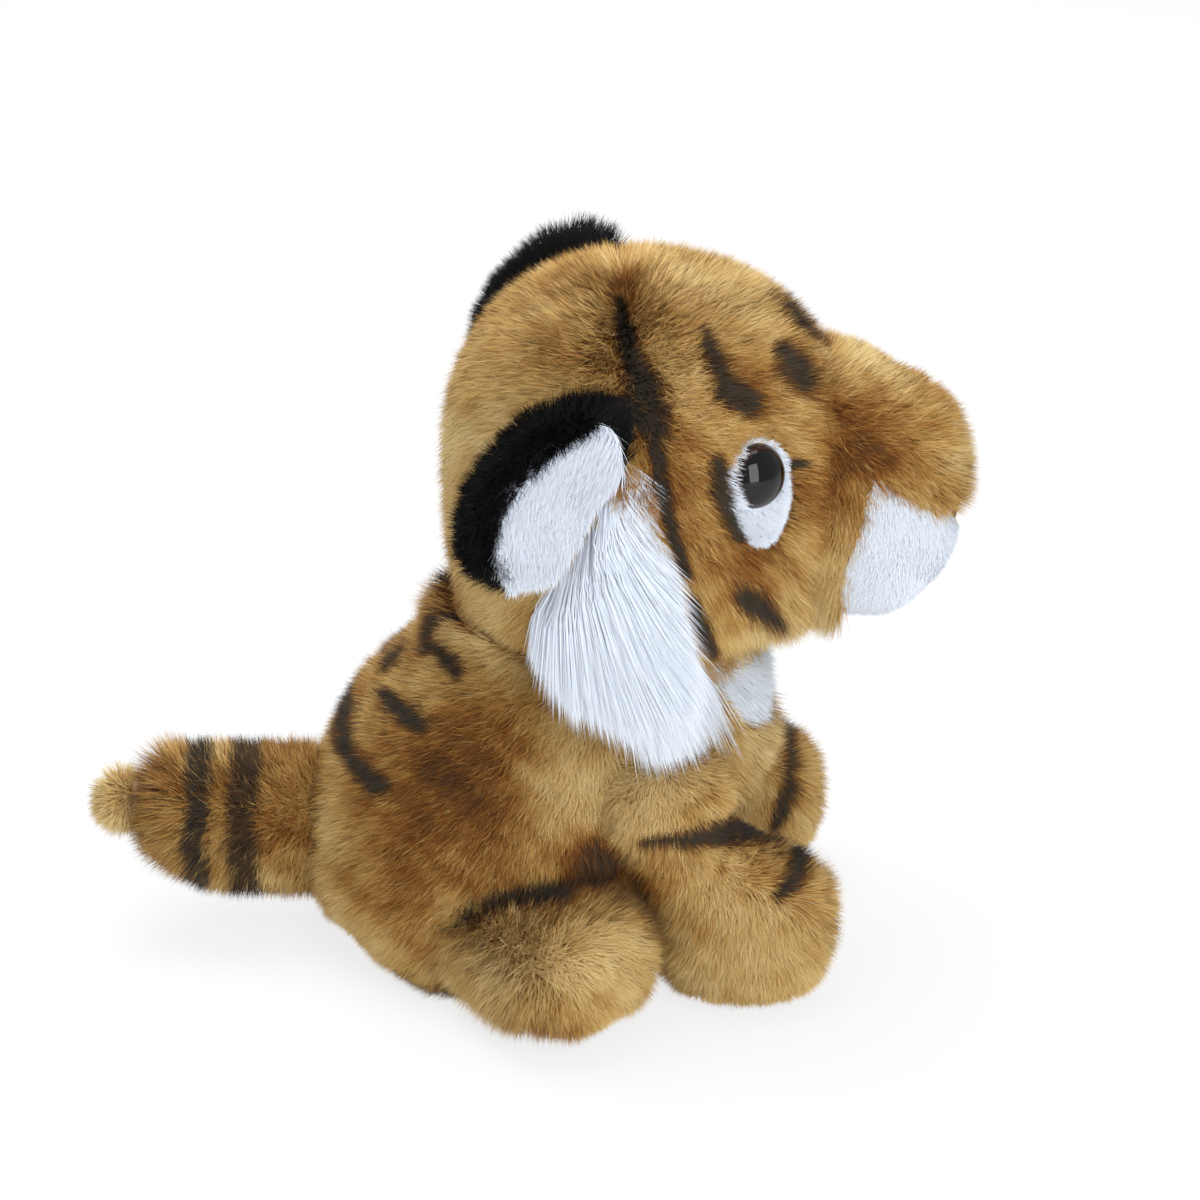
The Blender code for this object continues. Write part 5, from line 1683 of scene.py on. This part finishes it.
class TIGER_OT_hind_legs(bpy.types.Operator):
    """The hind legs' backing and pile, with their places baked into their meshes."""

    bl_idname = "tiger.hind_legs"
    bl_label = "Hind legs"

    def execute(self, context):
        sizes = context.scene.tiger_sizes
        depth = sizes.backing_depth
        for side, word in SIDES:
            body = f"hind_leg_{word}"
            middle = hip(side)
            out = Vector((math.cos(FOOT_SPLAY), side * math.sin(FOOT_SPLAY), 0.0))
            bend = (middle - out * HIP_BEND[0], middle + out * HIP_BEND[1])
            surface = HIND_LEGS[side].surface(depth)
            rings = surface[0].copy()
            rings[..., 2] = np.maximum(rings[..., 2], depth * UNDERSIDE)
            put(f"{body}_backing", closed_surface(f"{body}_backing", rings,
                lambda p: tan_dye_and_shading(p, HIND_MARKS, LEG_DYE_AND_PAINTED_SHADING)), body,
                tan_plush(), replaces=(f"{body}_skin",), bend=bend)

            def comb(points, normals):
                """Down and forward on the side, and forward along the top."""
                top = smooth(normals[:, 2], 0.1, 0.8)
                return np.column_stack([0.45 + 0.5 * top, side * 0.25 * top, -0.9 + 0.8 * top])

            def brushed(points):
                """Long at the heel and short under the toes."""
                x, y = photo_place(points).T
                heel = smooth(560 - x, 0, 70) * smooth(y, 950, 1000)
                toes = smooth(x, 570, 620) * smooth(y, 985, 1010)
                return sizes.pile * (1 + 0.5 * heel - 0.4 * toes)

            grow(f"{body}_pile", surface, body, comb, brushed,
                 lambda p, n: ~TRUNK.holds(p, depth), tint(HIND_MARKS, LEG_DYE_AND_PAINTED_SHADING),
                 tan_plush(), "tan_plush", bend=bend, stray=0.5)
        return {"FINISHED"}


def tail_dye(points, draw=None):
    """The tail's dye: tan with two dark bands square to the tail, the nearer one brown."""
    base = tan_dye_and_shading(points, (), ((280, 815, 60, -0.18), (165, 800, 40, -0.12)), draw)
    wave = 0.0009 * ripple(points, 0.012, 21)
    for middle, half, dark in ((-0.0730, 0.0030, BLACK), (-0.0625, 0.0036, 0.12)):
        near = np.abs(points[:, 0] - middle + wave) / half
        band = 1 - smooth(near, 0.5, 1.4)
        if draw is None:
            base = base * (1 - band) + dark * band
        else:
            base = np.where(draw.random(len(points)) < band * 0.93,
                            dark + 0.08 * draw.random(len(points)), base)
    return base


class TIGER_OT_tail(bpy.types.Operator):
    """The tail's backing and pile, with their places baked into their meshes, and its gathered tuft."""

    bl_idname = "tiger.tail"
    bl_label = "Tail"

    def execute(self, context):
        sizes = context.scene.tiger_sizes
        depth = sizes.backing_depth
        surface = TAIL.surface(depth)
        root = Vector((-TAIL_ROOT, 0.0, TAIL_LEVEL))
        ahead = Vector((1.0, 0.0, 0.0))
        bend = (root + ahead * TAIL_BEND[0], root - ahead * TAIL_BEND[1])
        put("tail_backing", closed_surface("tail_backing", surface[0], tail_dye), "tail",
            tan_plush(), replaces=("tail_skin",), bend=bend)

        def end(points):
            """Longer and more upright round the tail's end, which makes it blunt."""
            return 0.5 * smooth(-points[:, 0], 0.072, 0.080)

        grow("tail_pile", surface, "tail", steady((-0.9, 0.0, -0.35)),
             lambda p: sizes.pile * (1 + end(p)),
             lambda p, n: ~TRUNK.holds(p, depth), tail_dye, tan_plush(), "tan_plush",
             lean=(36, 36), stray=0.6, loose=0.3, bend=bend, laid=lambda p: 1 - end(p))

        tip = TAIL.place @ Matrix.Translation((TAIL_LENGTH + GAP, 0.0, TAIL_LIFT))
        share = np.array((0.0, 0.12, 0.25, 0.45, 0.65, 0.82, 0.94, 1.0))[:, None]
        bulge = np.array((0.42, 0.40, 0.46, 0.70, 0.86, 0.74, 0.44, 0.0))[:, None]
        angle = np.linspace(0, 2 * math.pi, 32, endpoint=False)[None, :]
        radius = bulge * TUFT_ACROSS / 2 * TUFT_SHARE
        local = np.stack(np.broadcast_arrays(share * TUFT_LENGTH * TUFT_SHARE, radius * np.cos(angle),
                                             radius * np.sin(angle)), axis=2)
        turn, middle = np.array(tip.to_3x3()), np.array(tip.translation)
        rings = local @ turn.T + middle
        normals = outward(rings)
        pale = lambda p, d=None: np.clip(0.93 + 0.12 * ripple(p, 0.006, 4), 0, 1)
        put("tail_tuft_backing", closed_surface("tail_tuft_backing", rings, pale), "tail",
            tan_plush(), replaces=("tail_tuft",))

        grow("tail_tuft_pile", (rings, normals), "tail", steady((-0.8, 0.0, -0.5)), sizes.pile * TUFT_PILE,
             lambda p, n: p[:, 0] < middle[0] - 0.0015, pale, tan_plush(), "tan_plush",
             lean=(38, 38), density=1.4, stray=0.4, loose=0.3)
        return {"FINISHED"}


def plain_cloth(name, digits, roughness, scale, strength):
    """A quiet cloth, fibre or plastic, with its colour and height varied by noise."""
    made, tree, shader = new_material(name, roughness=roughness, sheen_weight=0.2)
    where = add(tree, "ShaderNodeTexCoord", (-1000, 0))
    noise = add(tree, "ShaderNodeTexNoise", (-800, 0), None,
                {"Vector": where.outputs["Object"], "Scale": scale, "Detail": 6.0})
    pale = colour(digits)
    tint_ = ramp(tree, (-550, 0), [(0.3, tuple(v * 0.8 for v in pale)), (0.7, pale)],
                 noise.outputs["Fac"])
    bump = add(tree, "ShaderNodeBump", (-300, -200), None,
               {"Height": noise.outputs["Fac"], "Strength": strength, "Distance": 0.0005})
    tree.links.new(tint_, shader.inputs["Base Color"])
    tree.links.new(bump.outputs["Normal"], shader.inputs["Normal"])
    return made


class TIGER_OT_inside(bpy.types.Operator):
    """Finishes of what lies inside and of the small fittings: filling, pouch, washers."""

    bl_idname = "tiger.inside"
    bl_label = "Inside"

    def execute(self, context):
        finishes = {
            # A dull, cloudy white that is crossed by small shadows
            "polyester_fill": plain_cloth("loose polyester fibre", "EFEDE8", 1.0, 900, 0.8),
            # A flat, slightly uneven ecru without shine
            "pellet_pouch": plain_cloth("woven cotton pouch", "D9D4C8", 0.9, 1400, 0.5),
            # A milky, even white with a broad soft highlight
            "washer_plastic": plain_cloth("moulded nylon, natural", "D8D8D2", 0.45, 300, 0.05),
            # A pale straw with a slight sheen and fine fibres
            "sewing_thread": plain_cloth("spun polyester thread", "E8DCC0", 0.7, 2500, 0.6),
        }
        for row in frame["record"]["subparts"]:
            finish = finishes.get(row["material_slot"])
            if finish:
                node = frame["nodes"][row["node"]]
                node.data.materials.clear()
                node.data.materials.append(finish)
        return {"FINISHED"}


class TIGER_OT_stage(bpy.types.Operator):
    """The floor, the lamps, the world and the camera."""

    bl_idname = "tiger.stage"
    bl_label = "Stage"

    def execute(self, context):
        floor_mesh = bpy.data.meshes.new("studio_floor")
        half = 4.0
        floor_mesh.from_pydata([(-half, -half, 0), (half, -half, 0), (half, half, 0),
                                (-half, half, 0)], [], [(0, 1, 2, 3)])
        floor = bpy.data.objects.new("studio_floor", floor_mesh)
        context.scene.collection.objects.link(floor)
        floor_mesh.materials.append(floor_finish())

        # Each lamp's name, place, width, height and watts
        lamps = (
            ("overhead_softbox", (-0.15, 0.25, 1.1), 1.0, 1.0, 11.0),
            ("front_softbox", (0.45, -1.0, 0.55), 0.6, 1.1, 9.6),
        )
        for name, place, across, up, power in lamps:
            light = bpy.data.lights.new(name, "AREA")
            light.shape = "RECTANGLE"
            light.size = across
            light.size_y = up
            light.energy = power
            lamp = bpy.data.objects.new(name, light)
            lamp.location = place
            aim = Vector(VIEW_TARGET) - Vector(place)
            lamp.rotation_euler = aim.to_track_quat("-Z", "Y").to_euler()
            context.scene.collection.objects.link(lamp)

        # The camera sees white, and the toy is lit by a dimmer, slightly cool sky
        world = bpy.data.worlds.new("studio")
        world.use_nodes = True
        tree = world.node_tree
        tree.nodes.clear()
        ray = add(tree, "ShaderNodeLightPath", (-600, 200))
        dim = add(tree, "ShaderNodeBackground", (-200, 0), None,
                  {"Color": (*colour("F4F7FF"), 1.0), "Strength": 0.6})
        bright = add(tree, "ShaderNodeBackground", (-200, -150), None,
                     {"Color": (1, 1, 1, 1), "Strength": 1.0})
        mixed = add(tree, "ShaderNodeMixShader", (50, 0), None,
                    {0: ray.outputs["Is Camera Ray"], 1: dim.outputs[0], 2: bright.outputs[0]})
        out = add(tree, "ShaderNodeOutputWorld", (250, 0))
        tree.links.new(mixed.outputs[0], out.inputs["Surface"])
        context.scene.world = world

        lens = bpy.data.cameras.new("photo_camera")
        lens.sensor_width = SENSOR_MM
        lens.lens = VIEW_FOCAL_PIXELS * SENSOR_MM / VIEW_PIXELS
        lens.clip_start = 0.01
        camera = bpy.data.objects.new("photo_camera", lens)
        back = Vector((0.0, -math.cos(VIEW_ELEVATION), math.sin(VIEW_ELEVATION)))
        camera.location = Vector(VIEW_TARGET) + back * VIEW_DISTANCE
        camera.rotation_euler = (-back).to_track_quat("-Z", "Y").to_euler()
        context.scene.collection.objects.link(camera)
        context.scene.camera = camera
        context.scene.view_settings.view_transform = "Standard"
        return {"FINISHED"}


def floor_finish():
    """Matt white card that the camera sees as white, apart from the toy's shadow."""
    made, tree, shader = new_material("matt white card", roughness=0.9, specular_ior_level=0.2)
    shader.inputs["Base Color"].default_value = (*bpy.context.scene.tiger_colours.floor, 1.0)
    glow = add(tree, "ShaderNodeEmission", (0, 250), None,
               {"Color": (1, 1, 1, 1), "Strength": 1.0})
    ray = add(tree, "ShaderNodeLightPath", (-400, 400))
    share = add(tree, "ShaderNodeMath", (-100, 400), {"operation": "MULTIPLY"},
                {0: ray.outputs["Is Camera Ray"], 1: 0.8})
    mixed = add(tree, "ShaderNodeMixShader", (250, 200), None,
                {0: share.outputs[0], 1: shader.outputs[0], 2: glow.outputs[0]})
    out = next(n for n in tree.nodes if n.type == "OUTPUT_MATERIAL")
    tree.links.new(mixed.outputs[0], out.inputs["Surface"])
    return made


OPERATORS = (TIGER_OT_stage, TIGER_OT_trunk, TIGER_OT_head, TIGER_OT_muzzle, TIGER_OT_eyes,
             TIGER_OT_ears, TIGER_OT_ruffs, TIGER_OT_forelegs, TIGER_OT_hind_legs, TIGER_OT_tail,
             TIGER_OT_inside)


class TIGER_PT_panel(bpy.types.Panel):
    """Lists the tiger's sizes, colours and operators in the 3D view's sidebar."""

    bl_idname = "TIGER_PT_panel"
    bl_label = "Plush tiger"
    bl_space_type = "VIEW_3D"
    bl_region_type = "UI"
    bl_category = "Tiger"

    def draw(self, context):
        for group in (context.scene.tiger_sizes, context.scene.tiger_colours):
            for name in group.__annotations__:
                self.layout.prop(group, name)
        for operator in OPERATORS:
            self.layout.operator(operator.bl_idname)


CLASSES = (TigerSizes, TigerColours, *OPERATORS, TIGER_PT_panel)


def register():
    """Registers the add-on's classes and its two groups of properties."""
    for item in CLASSES:
        bpy.utils.register_class(item)
    bpy.types.Scene.tiger_sizes = PointerProperty(type=TigerSizes)
    bpy.types.Scene.tiger_colours = PointerProperty(type=TigerColours)


def unregister():
    """Takes away all that register added."""
    del bpy.types.Scene.tiger_colours
    del bpy.types.Scene.tiger_sizes
    for item in reversed(CLASSES):
        bpy.utils.unregister_class(item)


def main():
    """Dresses the model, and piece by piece."""
    register()
    for operator in OPERATORS:
        group, name = operator.bl_idname.split(".")
        getattr(getattr(bpy.ops, group), name)()


if __name__ == "__main__":
    main()
